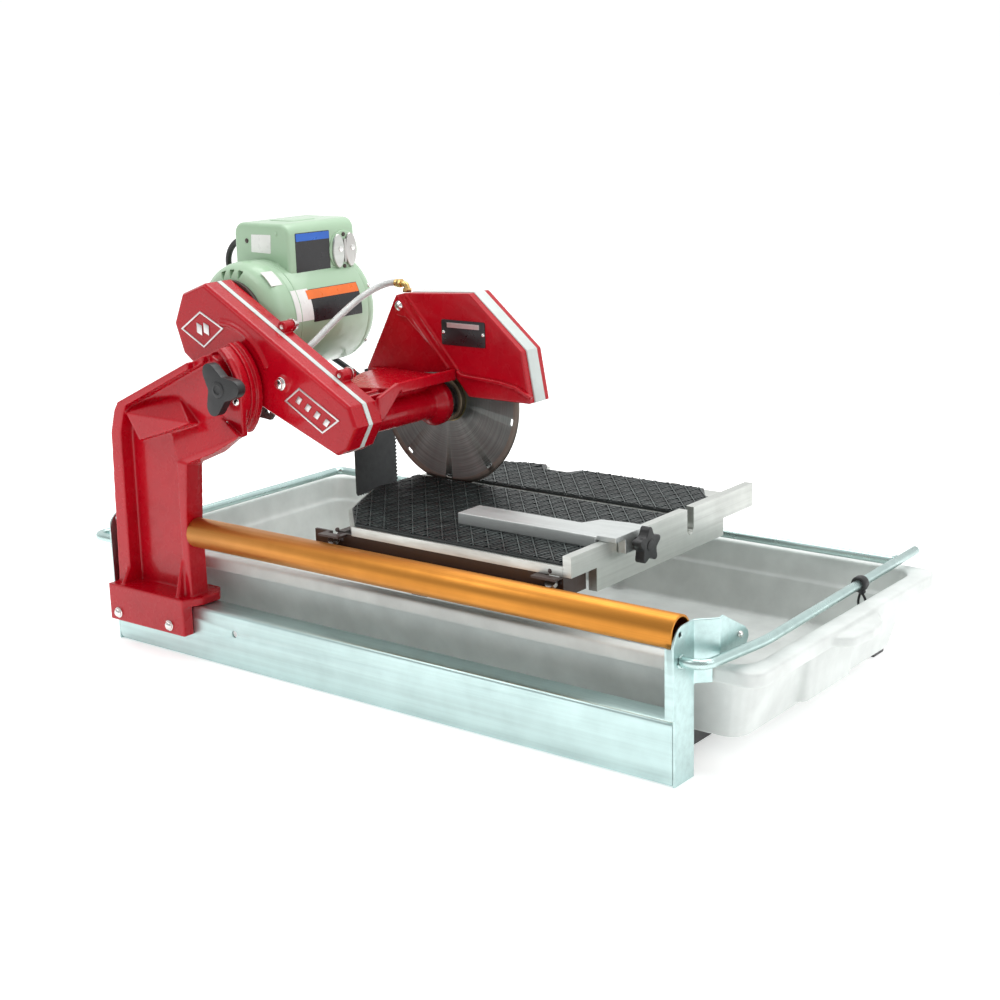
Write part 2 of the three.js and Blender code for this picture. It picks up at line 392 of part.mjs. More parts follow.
// pulleys and belt in the guard
const PM = 38, PS = 24;
{
  put(head, 'motor_pulley', turnY(MOTOR_X, MOTOR_Z, [[8 + G, 80], [PM, 80], [PM, 82], [PM - 5, 86], [PM - 5, 90], [PM, 94], [PM, 96], [8 + G, 96], [8 + G, 80]], 36), DARK);
  put(head, 'spindle_pulley', turnY(BLADE_X, BLADE_Z, [[9.3, 80], [PS, 80], [PS, 82], [PS - 5, 86], [PS - 5, 90], [PS, 94], [PS, 96], [9.3, 96], [9.3, 80]], 30), DARK);
  const dx = MOTOR_X - BLADE_X, dz = MOTOR_Z - BLADE_Z, L = Math.hypot(dx, dz), th = Math.atan2(dz, dx) / D2R;
  const loop = (g) => {
    const R1 = PM - 5 + g, R2 = PS - 5 + g, be = Math.asin((R1 - R2) / L) / D2R;
    return [...arc(BLADE_X, BLADE_Z, R2, th + 90 + be, th + 270 - be, 12), ...arc(MOTOR_X, MOTOR_Z, R1, th - 90 - be, th + 90 + be, 16)];
  };
  put(head, 'drive_belt', sub(prismY(loop(7), 86.3, 89.7), prismY(loop(G + 0.1), 80, 96)), RUBBER);
}
// spindle, bearings, blade and its clamping parts
{
  put(head, 'spindle_shaft', turnY(BLADE_X, BLADE_Z, [[0, 76], [9, 76], [9, 303], [27, 304], [27, 314.4], [8, 314.4], [8, 344], [0, 344]], 28), STEEL);
  const ring = (y0, y1) => turnY(BLADE_X, BLADE_Z, [[9.3, y0], [17, y0], [17, y1], [9.3, y1], [9.3, y0]], 28);
  put(head, 'bearing_front', ring(109, 121), STEEL);
  put(head, 'bearing_rear', ring(273, 285), STEEL);
  let bl = sub(cylY(BLADE_X, BLADE_Z, BLADE_R, 314.7, 317.3, 72), cylY(BLADE_X, BLADE_Z, 8.3, 300, 330, 24));
  for (let k = 0; k < 9; k++) {
    const a = (k * 40 - 92) * D2R, c = Math.cos(a), s = Math.sin(a), r = 116;
    const h = man(new THREE.BoxGeometry(9, 8, 4).rotateY(-a + Math.PI / 2).translate(BLADE_X + r * c, 316, BLADE_Z + r * s));
    bl = bl.subtract(h);
  }
  put(head, 'saw_blade', bl, BLADEM);
  put(head, 'blade_flange', turnY(BLADE_X, BLADE_Z, [[8.3, 317.6], [27, 317.6], [27, 321], [24, 323], [8.3, 323], [8.3, 317.6]], 28), STEEL);
  put(head, 'spindle_nut', sub(prismY(arc(BLADE_X, BLADE_Z, 14, 0, 300, 5), 323.3, 332), cylY(BLADE_X, BLADE_Z, 8.3, 300, 350, 24)), STEEL);
}
// blade guard: fixed rear part on the arm, hood that lifts about its top rear corner
{
  const fixedO = rounded([[-640, 497], [-660, 493], [-680, 452], [-717, 386], [-711, 369], [-650, 369], [-640, 396], [-548, 396], [-626, 480]], [4, 8, 4, 6, 4, 2, 2, 2, 4], 3);
  const fx = ccw([[-632, 494], [-644, 500], [-660, 490], [-681, 451], [-717.5, 386], [-711, 369], [-690, 369], [-688, 380], [-552, 394.5], [-557, 402], [-626, 482]]);
  let f = prismY(fx, 294, 329);
  const inner = [[-704, 340], [-713.5, 387], [-677, 452], [-657, 487], [-640, 494], [-600, 520], [-500, 520], [-500, 340]];
  f = sub(f, prismY(inner, 297, 326));
  // front wall cleared round the spindle boss
  f = sub(f, cylY(BLADE_X, BLADE_Z, 36, 280, 340, 32), cylY(HOOD_X, HOOD_Z, 4.3, 280, 340, 16));
  put(head, 'blade_guard_rear', f, RED);
  const hood = [[-634, 501], [-515, 508], [-426, 433], [-414, 366], [-470, 362], [-552, 396], [-640, 498]];
  const hoodO = [[-652, 496], [-634, 502], [-515, 509], [-426, 434], [-413, 362], [-452, 362], [-552, 397], [-655, 482]];
  let h = prismY([[-657, 488], [-650, 499], [-634, 503], [-515, 509], [-426, 434], [-413, 362], [-520, 362], [-552, 397], [-633, 468], [-650, 470]], 288, 334);
  h = sub(h, prismY([[-700, 340], [-700, 620], [-640, 620], [-630, 498], [-517, 504.5], [-430.5, 431.5], [-417, 340]], 291, 331));
  h = sub(h, cylY(BLADE_X, BLADE_Z, 40, 280, 340, 32), cylY(HOOD_X, HOOD_Z, 4.3, 280, 340, 16));
  put(head, 'blade_guard_hood', h, RED);
  put(head, 'hood_hinge_pin', turnY(HOOD_X, HOOD_Z, [[0, 284], [3, 284.3], [7, 287], [7, 287.7], [4, 287.7], [4, 334.3], [7, 334.3], [7, 338], [0, 338]], 16), ALU);
  // rubber splash flap hanging behind the blade
  put(head, 'splash_flap', sub(box(-722.5, -718.5, 262, 354, 196, 384), box(-730, -710, 250, 292.5, 384 - 8, 390)), RUBBER);
  // brass elbow and clear hose feeding water to the guard
  const el = add(man(tubeAlong(bent([[-648, 311, 501.5], [-648, 311, 513], [-666, 311, 513]], 7, 5), 4.2, 12)), cylZ(-648, 311, 6.5, 501, 506, 6),
    man(new THREE.CylinderGeometry(6, 6, 6, 6).rotateZ(Math.PI / 2).translate(-662, 311, 513)));
  put(head, 'water_elbow', el, BRASS);
  put(head, 'water_hose', tubeAlong(spline([[-666.6, 310.6, 513], [-676, 309.6, 513], [-688, 300, 509], [-697, 272, 498], [-694, 222, 479], [-691, 180, 459], [-690, 155, 446], [-690, 142, 440.6], [-690, 130.6, 440]], 30), 4.8, 10), CLEAR);
}
// tri-lobe lock knob with its stud through the post's slot
{
  const sa = STUD_ANGLE * D2R, sx = PIVOT_X + SLOT_R * Math.cos(sa), sz = PIVOT_Z + SLOT_R * Math.sin(sa);
  const lobes = [];
  for (let i = 0; i < 36; i++) {
    const a = i * 10, r = 28 + 12.5 * Math.cos(3 * (a - 6) * D2R);
    lobes.push([sx + r * Math.cos(a * D2R), sz + r * Math.sin(a * D2R)]);
  }
  put(head, 'lock_knob', add(prismY(lobes, -5, 9.6), cylY(sx, sz, 14, 9, 21.5, 24), cylY(sx, sz, 5, 21, 60, 16)), BLACK);
}

// ================================================================= rolling table
{
  const S0 = BLADE_Y - 4, S1 = BLADE_Y + 4;
  const T = [[FENCE_X0 - G, 42], [-530, 42], [-592, 104], [-643, 211], [-643, 360], [-604, 440], [-540, 462], [-506, 462], [-498, 442], [-461, 442], [-452, 462], [FENCE_X0 - G, 462]];
  put(cart, 'table_plate', sub(prismZ(rounded(T, [0, 6, 8, 8, 8, 8, 6, 2, 2, 2, 2, 0], 2), TABLE_Z0, TABLE_Z1),
    box(-700, -205, S0, S1, 200, 240), box(-210, -180, S0, S1, 218, 240)), ALU);
  const pad = (pts) => prismZ(rounded(pts, 2, 1), TABLE_Z1 + G, PAD_Z);
  put(cart, 'table_pad_near', pad([[-188, 47], [-528, 47], [-587, 107], [-638, 213], [-638, S0 - 5], [-188, S0 - 5]]), RUBBER);
  put(cart, 'table_pad_far', pad([[-188, S1 + 5], [-638, S1 + 5], [-638, 358], [-600, 436], [-539, 457], [-509, 457], [-501, 437], [-458, 437], [-448, 457], [-236, 457], [-212, 420], [-188, 420]]), RUBBER);
  const F = [[42, TABLE_Z0], [96, TABLE_Z0], [96, 184], [402, 184], [402, 208], [482, 208], [482, 241], [42, 241]];
  const notch = [[BLADE_Y - 8, 260], [BLADE_Y - 8, 214], ...arc(BLADE_Y, 213, 8, 180, 360, 8), [BLADE_Y + 8, 260]];
  put(cart, 'table_fence', sub(prismX(F, FENCE_X0, FENCE_X1), prismX(notch, -200, -150)), ALU);
  // carriage: rear plate behind the rail, cross arms, wheel arms over the rear rod
  const parts = [
    prismX([[46, 152], [50, 152], [50, 214.2], [46, 214.2]], -600, -187),
    box(-578, -542, 28, 46.5, 211.2, 214.2), box(-223, -187, 28, 46.5, 211.2, 214.2), box(-196, -187, 49, 94, 186, 214.2),
    box(-566, -554, 49, 516, 196, 214.2), box(-326, -314, 49, 516, 196, 214.2),
    box(-566, -554, 500, 516, 160, 214.2), box(-326, -314, 500, 516, 160, 214.2),
    box(-430, -404, 44.2, 50, 150, 153),
  ];
  let c = add(...parts);
  for (const x of [-560, -320]) c = sub(c, cylY(x, 169.6, 4.3, 490, 550, 16));
  for (const x of [-560, -200]) {
    const seat = man(new THREE.BoxGeometry(22, 12, 24).rotateX(-45 * D2R).translate(x, 39.4 + 3, 205.4 + 3));
    c = c.subtract(seat);
  }
  c = sub(c, box(-575, -545, 51, 60, 190, 196));
  put(cart, 'carriage_frame', c, ALU);
  // rollers: one near each end on the rail's upper rear flank, two grooved wheels on the rear rod
  for (const [n, x] of [['rail_roller_left', -560], ['rail_roller_right', -200]]) {
    put(cart, n, man(lathe([[0, -3], [8, -3], [8, 3], [0, 3]], 20).rotateX(-45 * D2R).translate(x, 39.4, 205.4)), STEEL);
  }
  for (const [n, x] of [['rear_wheel_left', -560], ['rear_wheel_right', -320]]) {
    put(cart, n, man(lathe([[0, 491], [7, 491], [7, 499.7], [4, 499.7], [4, 516.3], [19, 516.3], [19, 518], [14.9, 521], [14.9, 527], [19, 530], [19, 532], [0, 532]], 28).translate(x, 0, 169.6)), STEEL);
  }
  // rip guide clamped over the fence, with its five-lobe screw knob
  const gz = 231.3;
  let rg = add(box(-408, -240, 118, 164, gz, 247), prismZ([[-241, 118], [-188, 117], [-188, 196], [-229, 190], [-241, 164]], gz, 247),
    box(-189, -160, 120, 193, 241.3, 248), box(-171.7, -160, 142, 192, 222, 242));
  rg = sub(rg, cylX(166, 231, 4.3, -180, -150, 16));
  put(cart, 'rip_guide', rg, ALU);
  const kl = [];
  for (let i = 0; i < 40; i++) { const a = i * 9, r = 19.5 + 3.2 * Math.cos(5 * a * D2R); kl.push([166 + r * Math.cos(a * D2R), 231 + r * Math.sin(a * D2R)]); }
  put(cart, 'guide_knob', add(prismX(kl, -152, -138), cylX(166, 231, 9, -159.7, -151, 20), cylX(166, 231, 4, -171.4, -155, 16)), BLACK);
}

// ================================================================= power cord
// from the gland on the conduit box, down behind the motor, to a coil on the floor
{
  const R = 4.5;
  // a gentle fall behind the pan, then a quarter turn of 58 mm radius onto the floor
  const CORD = [[-900, 225, 574], [-910.4, 225, 568.6], [-921.5, 225.5, 557.5], [-928.1, 227, 543.3], [-930.2, 231, 528], [-930.5, 240, 507], [-929.5, 258, 481], [-925, 284, 457],
    [-915, 318, 432], [-897, 357, 402], [-870, 400, 364], [-838, 442, 319], [-813, 482, 271], [-799, 520, 224], [-792, 554, 175], [-789.4, 582, 128], [-789, 600, 90],
    [-789, 607, 62.8], [-789, 610.5, 43], [-789, 621.9, 24.2], [-789, 640.5, 10.4], [-789, 657, R + 1.2], [-789, 665, R + 0.6]];
  put(cord, 'power_cord', tubeAlong(spline(CORD, 72), R, 8), BLACK);
  const CX = -734.8, CY = 700;
  const coil = man(lathe([[41, 0.2], [59, 0.2], [59, 18.4], [41, 18.4], [41, 0.2]], 36).rotateX(Math.PI / 2).translate(CX, CY, 0));
  const end = [CX + 69.5, CY + 12.8, 13.2];
  const tail = man(tubeAlong(spline([[CX + 27.2, CY + 47.2, 13.8], [CX + 35, CY + 41.7, 13.8], [CX + 52.2, CY + 27.3, 13.5], end], 6), R, 10));
  put(cord, 'cord_coil', add(coil, tail), BLACK);
  const plug = [man(lathe([[0, 0.5], [6, 0.5], [8, 14], [12.5, 22], [12.5, 46], [0, 46]], 20))];
  for (const x of [-6.4, 6.4]) plug.push(man(new THREE.BoxGeometry(1.8, 18, 6.2).translate(x, 54, 0)));
  put(cord, 'cord_plug', add(...plug).rotate([0, 0, -130]).translate(end), BLACK);
}

// the part stands with its base centre at the origin, measured without the free cord
{
  const b = new THREE.Box3();
  for (const g of [frame, head, cart]) b.expandByObject(g);
  root.position.set(-(b.min.x + b.max.x) / 2, -(b.min.y + b.max.y) / 2, -b.min.z);
}
export default root;
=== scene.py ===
import json
import math
import random

import bmesh
import bpy
from mathutils import Matrix, Vector, noise


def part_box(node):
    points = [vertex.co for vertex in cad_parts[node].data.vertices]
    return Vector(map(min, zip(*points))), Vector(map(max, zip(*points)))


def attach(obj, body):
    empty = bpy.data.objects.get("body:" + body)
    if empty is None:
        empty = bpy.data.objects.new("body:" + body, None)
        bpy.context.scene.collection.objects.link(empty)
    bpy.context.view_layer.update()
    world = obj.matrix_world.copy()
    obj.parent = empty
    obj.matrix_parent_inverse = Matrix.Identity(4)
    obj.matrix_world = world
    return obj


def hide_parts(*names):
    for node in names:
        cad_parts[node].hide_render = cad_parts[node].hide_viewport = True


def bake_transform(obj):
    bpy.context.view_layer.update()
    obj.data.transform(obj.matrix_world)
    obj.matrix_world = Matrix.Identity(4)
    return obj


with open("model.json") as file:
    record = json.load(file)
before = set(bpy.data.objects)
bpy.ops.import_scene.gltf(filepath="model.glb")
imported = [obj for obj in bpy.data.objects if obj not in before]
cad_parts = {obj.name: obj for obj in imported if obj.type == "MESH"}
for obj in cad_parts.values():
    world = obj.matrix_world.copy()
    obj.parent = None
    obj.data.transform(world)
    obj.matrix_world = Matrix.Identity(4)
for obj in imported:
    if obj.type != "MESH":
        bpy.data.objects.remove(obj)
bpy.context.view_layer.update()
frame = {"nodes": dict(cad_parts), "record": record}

BODY = {n: b for b, ns in frame["record"]["behaviour"]["bodies"].items() for n in ns}
lo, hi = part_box("saw_blade")
# every number below is in millimetres from the beam's bottom front right corner; these carry it to the row frame
DX, DY, DZ = (lo[0] + hi[0]) * 500 + 580, (lo[1] + hi[1]) * 500 - 316, (lo[2] + hi[2]) * 500 - 350
D2R = math.pi / 180


def V(x, y, z):
    return Vector(((x + DX) / 1000, (y + DY) / 1000, (z + DZ) / 1000))


# ------------------------------------------------------------------ materials
class Mat:
    """Small helper that wires a procedural material on object coordinates."""

    def __init__(self, name, rough=0.4, metal=0.0, **kw):
        self.m = bpy.data.materials.new(name)
        self.m.use_nodes = True
        self.t = self.m.node_tree
        self.b = self.t.nodes["Principled BSDF"]
        self.b.inputs["Roughness"].default_value = rough
        self.b.inputs["Metallic"].default_value = metal
        for k, v in kw.items():
            self.b.inputs[k.replace("_", " ")].default_value = v
        tc = self.t.nodes.new("ShaderNodeTexCoord")
        self.co = tc.outputs["Object"]

    def new(self, kind, **props):
        n = self.t.nodes.new(kind)
        for k, v in props.items():
            setattr(n, k, v)
        return n

    def link(self, a, b):
        self.t.links.new(a, b)

    def scaled(self, s=(1, 1, 1), rot=(0, 0, 0)):
        n = self.new("ShaderNodeMapping")
        n.inputs["Scale"].default_value = s
        n.inputs["Rotation"].default_value = rot
        self.link(self.co, n.inputs["Vector"])
        return n.outputs["Vector"]

    def noise(self, scale, detail=4, rough=0.5, vec=None):
        n = self.new("ShaderNodeTexNoise")
        n.inputs["Scale"].default_value = scale
        n.inputs["Detail"].default_value = detail
        n.inputs["Roughness"].default_value = rough
        self.link(vec or self.co, n.inputs["Vector"])
        return n.outputs["Fac"]

    def ramp(self, fac, stops):
        n = self.new("ShaderNodeValToRGB")
        e = n.color_ramp.elements
        while len(e) > 1:
            e.remove(e[-1])
        e[0].position, e[0].color = stops[0][0], (*stops[0][1], 1)
        for p, c in stops[1:]:
            k = e.new(p)
            k.color = (*c, 1)
        self.link(fac, n.inputs["Fac"])
        return n.outputs["Color"]

    def map(self, fac, a0, a1, b0, b1):
        n = self.new("ShaderNodeMapRange")
        for k, v in zip(("From Min", "From Max", "To Min", "To Max"), (a0, a1, b0, b1)):
            n.inputs[k].default_value = v
        self.link(fac, n.inputs["Value"])
        return n.outputs["Result"]

    def math(self, op, a, b=None):
        n = self.new("ShaderNodeMath", operation=op)
        for i, v in enumerate((a, b)):
            if v is None:
                continue
            if hasattr(v, "is_linked"):
                self.link(v, n.inputs[i])
            else:
                n.inputs[i].default_value = v
        return n.outputs["Value"]

    def color(self, out):
        self.link(out, self.b.inputs["Base Color"])
        return self

    def rough(self, out):
        self.link(out, self.b.inputs["Roughness"])
        return self

    def bump(self, fac, dist, strength=1.0):
        n = self.new("ShaderNodeBump")
        n.inputs["Distance"].default_value = dist
        n.inputs["Strength"].default_value = strength
        self.link(fac, n.inputs["Height"])
        prev = self.b.inputs["Normal"].links
        if prev:
            self.link(prev[0].from_socket, n.inputs["Normal"])
        self.link(n.outputs["Normal"], self.b.inputs["Normal"])
        return self


def tinted(c, k):
    return tuple(max(0.0, min(1.0, v * k)) for v in c)


def enamel(name, c, rough=0.27, cast=0.00035, coat=0.9, dark=0.8, spec=0.5):
    m = Mat(name, rough)
    m.b.inputs["Specular IOR Level"].default_value = spec
    m.b.inputs["Coat Weight"].default_value = coat
    m.b.inputs["Coat Roughness"].default_value = 0.07
    m.color(m.ramp(m.noise(9, 3), [(0.3, tinted(c, dark)), (0.62, c), (0.9, tinted(c, 1.08))]))
    m.rough(m.map(m.noise(60, 3), 0.3, 0.7, rough * 0.8, rough * 1.35))
    m.bump(m.noise(260, 2), cast, 0.35)
    m.bump(m.noise(34, 3), cast * 3, 0.3)
    return m.m


def plated(name, c, rough=0.3, streak=(1.5, 120, 120), metal=1.0, bump=0.00006):
    m = Mat(name, rough, metal)
    f = m.noise(1.0, 5, 0.6, m.scaled(streak))
    cloud = m.noise(14, 4, 0.6)
    mix = m.math("ADD", m.math("MULTIPLY", f, 0.55), m.math("MULTIPLY", cloud, 0.45))
    m.color(m.ramp(mix, [(0.3, tinted(c, 0.82)), (0.55, c), (0.75, tinted(c, 1.1))]))
    m.rough(m.map(mix, 0.3, 0.7, rough * 1.35, rough * 0.75))
    m.bump(f, bump, 0.6)
    return m.m


def moulded(name, c, rough=0.45, grain=500, dist=0.00008, **kw):
    m = Mat(name, rough, **kw)
    m.color(m.ramp(m.noise(22, 4), [(0.3, tinted(c, 0.88)), (0.7, tinted(c, 1.06))]))
    m.rough(m.map(m.noise(90, 3), 0.3, 0.7, rough * 0.85, rough * 1.15))
    m.bump(m.noise(grain, 2), dist, 0.5)
    return m.m


RED = enamel("red_enamel", (0.47, 0.0008, 0.010), rough=0.25, coat=0.3, spec=0.25)
MINT = enamel("mint_enamel", (0.37, 0.54, 0.37), rough=0.36, cast=0.0002, coat=0.4, dark=0.94)
ZINC = plated("zinc_plate", (0.53, 0.69, 0.68), rough=0.34)
ZINC_Y = plated("zinc_plate_rod", (0.50, 0.65, 0.63), rough=0.28, streak=(60, 60, 60))
GOLD = plated("gold_anodised", (0.60, 0.25, 0.045), rough=0.42, streak=(0.8, 240, 240), bump=0.00003)
ALU = plated("cast_aluminium", (0.70, 0.70, 0.675), rough=0.42, streak=(90, 90, 90), bump=0.0002)
ALU_MILL = plated("milled_aluminium", (0.58, 0.60, 0.57), rough=0.38, streak=(20, 3, 160), bump=0.00005)
ALU_BAR = plated("milled_bar", (0.60, 0.63, 0.62), rough=0.42, metal=0.85, streak=(3, 90, 90), bump=0.00005)
STEEL = plated("turned_steel", (0.56, 0.55, 0.53), rough=0.28, streak=(20, 300, 20))
BRIGHT = plated("bright_bolt", (0.82, 0.82, 0.80), rough=0.2, streak=(200, 200, 200))
DARK = moulded("dark_casting", (0.055, 0.035, 0.03), rough=0.4, dist=0.0003)
WHITE = moulded("white_moulding", (0.70, 0.735, 0.715), rough=0.42, grain=300, dist=0.00006)
BLACK = moulded("black_moulding", (0.012, 0.013, 0.014), rough=0.42)
BLACKP = enamel("black_enamel", (0.012, 0.012, 0.013), rough=0.4, coat=0.3)
RUBBER = moulded("black_rubber", (0.014, 0.016, 0.018), rough=0.55, dist=0.00015)
CORDM = moulded("cord_jacket", (0.014, 0.014, 0.015), rough=0.5, grain=900, dist=0.00005)
GREY = moulded("grey_gasket_strip", (0.62, 0.68, 0.655), rough=0.4)
LABEL_W = moulded("label_pale", (0.82, 0.82, 0.80), rough=0.3)
LABEL_K = moulded("label_black", (0.012, 0.012, 0.014), rough=0.3)
LABEL_B = moulded("label_blue", (0.01, 0.12, 0.55), rough=0.3)
LABEL_O = moulded("label_orange", (0.85, 0.17, 0.02), rough=0.3)
BRONZE = plated("dark_bronze", (0.26, 0.20, 0.14), rough=0.45, streak=(60, 60, 60))
SILVER = plated("badge_silver", (0.72, 0.72, 0.71), rough=0.35, streak=(60, 60, 60))


def make_tread():
    m = Mat("tread_rubber", 0.5)
    geo = m.new("ShaderNodeNewGeometry")
    sep = m.new("ShaderNodeSeparateXYZ")
    m.link(m.co, sep.inputs[0])
    # painted sheen: the colour gets lighter up the ribs towards their tops (h is height up a rib), made patchy by noise
    h = m.map(sep.outputs["Z"], (230.6 + DZ) / 1000, (232.2 + DZ) / 1000, 0, 1)
    painted_rib_top_sheen = m.math("MULTIPLY", h, m.noise(40, 4, 0.6))
    m.color(m.ramp(painted_rib_top_sheen, [(0.2, (0.014, 0.018, 0.018)), (0.45, (0.060, 0.076, 0.074)), (0.7, (0.17, 0.205, 0.195))]))
    m.rough(m.map(m.noise(120, 3), 0.3, 0.7, 0.32, 0.5))
    m.bump(m.noise(700, 2), 0.0001, 0.5)
    return m.m


TREAD = make_tread()


def make_blade():
    m = Mat("blade_steel", 0.3, 1.0, Anisotropic=0.7)
    sub = m.new("ShaderNodeVectorMath", operation="SUBTRACT")
    sub.inputs[1].default_value = V(-580, 316, 350)
    m.link(m.co, sub.inputs[0])
    sep = m.new("ShaderNodeSeparateXYZ")
    m.link(sub.outputs[0], sep.inputs[0])
    r = m.math("SQRT", m.math("ADD", m.math("MULTIPLY", sep.outputs["X"], sep.outputs["X"]), m.math("MULTIPLY", sep.outputs["Z"], sep.outputs["Z"])))
    ang = m.math("ARCTAN2", sep.outputs["Z"], sep.outputs["X"])
    comb = m.new("ShaderNodeCombineXYZ")
    m.link(m.math("MULTIPLY", r, 900.0), comb.inputs[0])
    m.link(m.math("MULTIPLY", ang, 0.6), comb.inputs[1])
    rings = m.noise(1.0, 3, 0.6, comb.outputs[0])
    fan = m.new("ShaderNodeCombineXYZ")
    m.link(m.math("MULTIPLY", ang, 1.7), fan.inputs[0])
    fans = m.noise(1.3, 2, 0.5, fan.outputs[0])
    mix = m.math("ADD", m.math("MULTIPLY", rings, 0.6), m.math("MULTIPLY", fans, 0.4))
    core = m.ramp(mix, [(0.35, (0.10, 0.112, 0.106)), (0.5, (0.15, 0.163, 0.156)), (0.66, (0.23, 0.245, 0.235))])
    rim = m.ramp(rings, [(0.3, (0.13, 0.112, 0.095)), (0.7, (0.21, 0.185, 0.16))])
    hub = m.ramp(rings, [(0.3, (0.25, 0.22, 0.10)), (0.7, (0.42, 0.38, 0.2))])
    mx = m.new("ShaderNodeMix", data_type="RGBA")
    m.link(m.map(r, 0.1172, 0.1182, 0, 1), mx.inputs["Factor"])
    m.link(core, mx.inputs["A"])
    m.link(rim, mx.inputs["B"])
    mx2 = m.new("ShaderNodeMix", data_type="RGBA")
    m.link(m.map(r, 0.033, 0.0335, 1, 0), mx2.inputs["Factor"])
    m.link(mx.outputs["Result"], mx2.inputs["A"])
    m.link(hub, mx2.inputs["B"])
    m.color(mx2.outputs["Result"])
    m.rough(m.map(rings, 0.3, 0.7, 0.3, 0.46))
    m.bump(rings, 0.00004, 0.6)
    return m.m


BLADEM = make_blade()


def make_clear():
    m = Mat("clear_hose", 0.12, 0.0, Transmission_Weight=0.55, IOR=1.42)
    m.color(m.ramp(m.noise(60, 3), [(0.3, (0.72, 0.76, 0.75)), (0.7, (0.88, 0.9, 0.89))]))
    m.bump(m.noise(150, 2), 0.0001, 0.3)
    return m.m


CLEAR = make_clear()
BRASS = plated("brass", (0.72, 0.50, 0.20), rough=0.25, streak=(80, 80, 80))


# ------------------------------------------------------------------ mesh tools (millimetres)
def ccw(p):
    a = sum(p[i][0] * p[(i + 1) % len(p)][1] - p[(i + 1) % len(p)][0] * p[i][1] for i in range(len(p)))
    return list(reversed(p)) if a < 0 else list(p)


def arc(cx, cy, r, a0, a1, n):
    return [(cx + r * math.cos((a0 + (a1 - a0) * i / n) * D2R), cy + r * math.sin((a0 + (a1 - a0) * i / n) * D2R)) for i in range(n + 1)]


def rounded(pts, r, n=6):
    P, out = ccw(pts), []
    for i in range(len(P)):
        rr = r[i] if isinstance(r, (list, tuple)) else r
        a, b, c = Vector(P[i - 1]), Vector(P[i]), Vector(P[(i + 1) % len(P)])
        if not rr:
            out.append(tuple(b))
            continue
        u, v = (a - b), (c - b)
        lu, lv = u.length, v.length
        u.normalize(); v.normalize()
        half = math.acos(max(-1, min(1, u.dot(v)))) / 2
        t = min(rr / math.tan(half), lu * 0.49, lv * 0.49)
        re = t * math.tan(half)
        o = b + (u + v).normalized() * (re / math.sin(half))
        p0, p1 = b + u * t - o, b + v * t - o
        a0, a1 = math.atan2(p0.y, p0.x), math.atan2(p1.y, p1.x)
        d = (a1 - a0 + math.pi) % (2 * math.pi) - math.pi
        out += [(o.x + re * math.cos(a0 + d * k / n), o.y + re * math.sin(a0 + d * k / n)) for k in range(n + 1)]
    return out


def offset(pts, d):
    P, n, out = ccw(pts), len(pts), []
    for i in range(n):
        a, b, c = P[i - 1], P[i], P[(i + 1) % n]
        n1 = Vector((b[1] - a[1], a[0] - b[0])).normalized()
        n2 = Vector((c[1] - b[1], b[0] - c[0])).normalized()
        k = 1 + n1.dot(n2)
        out.append((b[0] + d * (n1.x + n2.x) / k, b[1] + d * (n1.y + n2.y) / k))
    return out


PLANE = {"X": lambda p, h: (h, p[0], p[1]), "Y": lambda p, h: (p[0], h, p[1]), "Z": lambda p, h: (p[0], p[1], h)}


def prism(pts, axis, a, b, bm=None, top=None):
    """Closed prism of an outline; top is an optional other outline at b."""
    bm = bm or bmesh.new()
    P = ccw(pts)
    T = ccw(top) if top else P
    f = PLANE[axis]
    va = [bm.verts.new(f(p, a)) for p in P]
    vb = [bm.verts.new(f(p, b)) for p in T]
    fs = [bm.faces.new(va), bm.faces.new(list(reversed(vb)))]
    n = len(P)
    for i in range(n):
        fs.append(bm.faces.new((va[i], vb[i], vb[(i + 1) % n], va[(i + 1) % n])))
    bmesh.ops.recalc_face_normals(bm, faces=fs)
    return bm


def block(x0, x1, y0, y1, z0, z1, bm=None):
    return prism([(x0, y0), (x1, y0), (x1, y1), (x0, y1)], "Z", z0, z1, bm)


def turned(origin, axis, prof, n=64, bm=None):
    """Profile (radius, distance along axis); ends on the axis or closes on itself."""
    bm = bm or bmesh.new()
    ax = Vector(axis).normalized()
    q = ax.to_track_quat("Z", "Y")
    o = Vector(origin)
    rings = []
    for r, h in prof:
        if r < 1e-6:
            rings.append([bm.verts.new(o + ax * h)])
        else:
            rings.append([bm.verts.new(o + q @ Vector((r * math.cos(2 * math.pi * k / n), r * math.sin(2 * math.pi * k / n), h))) for k in range(n)])
    fs = []
    for A, B in zip(rings, rings[1:]):
        for k in range(n):
            k2 = (k + 1) % n
            if len(A) == 1 and len(B) == 1:
                continue
            if len(A) == 1:
                fs.append(bm.faces.new((A[0], B[k], B[k2])))
            elif len(B) == 1:
                fs.append(bm.faces.new((A[k], B[0], A[k2])))
            else:
                fs.append(bm.faces.new((A[k], B[k], B[k2], A[k2])))
    bmesh.ops.remove_doubles(bm, verts=[v for r in rings for v in r], dist=1e-5)
    bmesh.ops.recalc_face_normals(bm, faces=[f for f in bm.faces])
    return bm


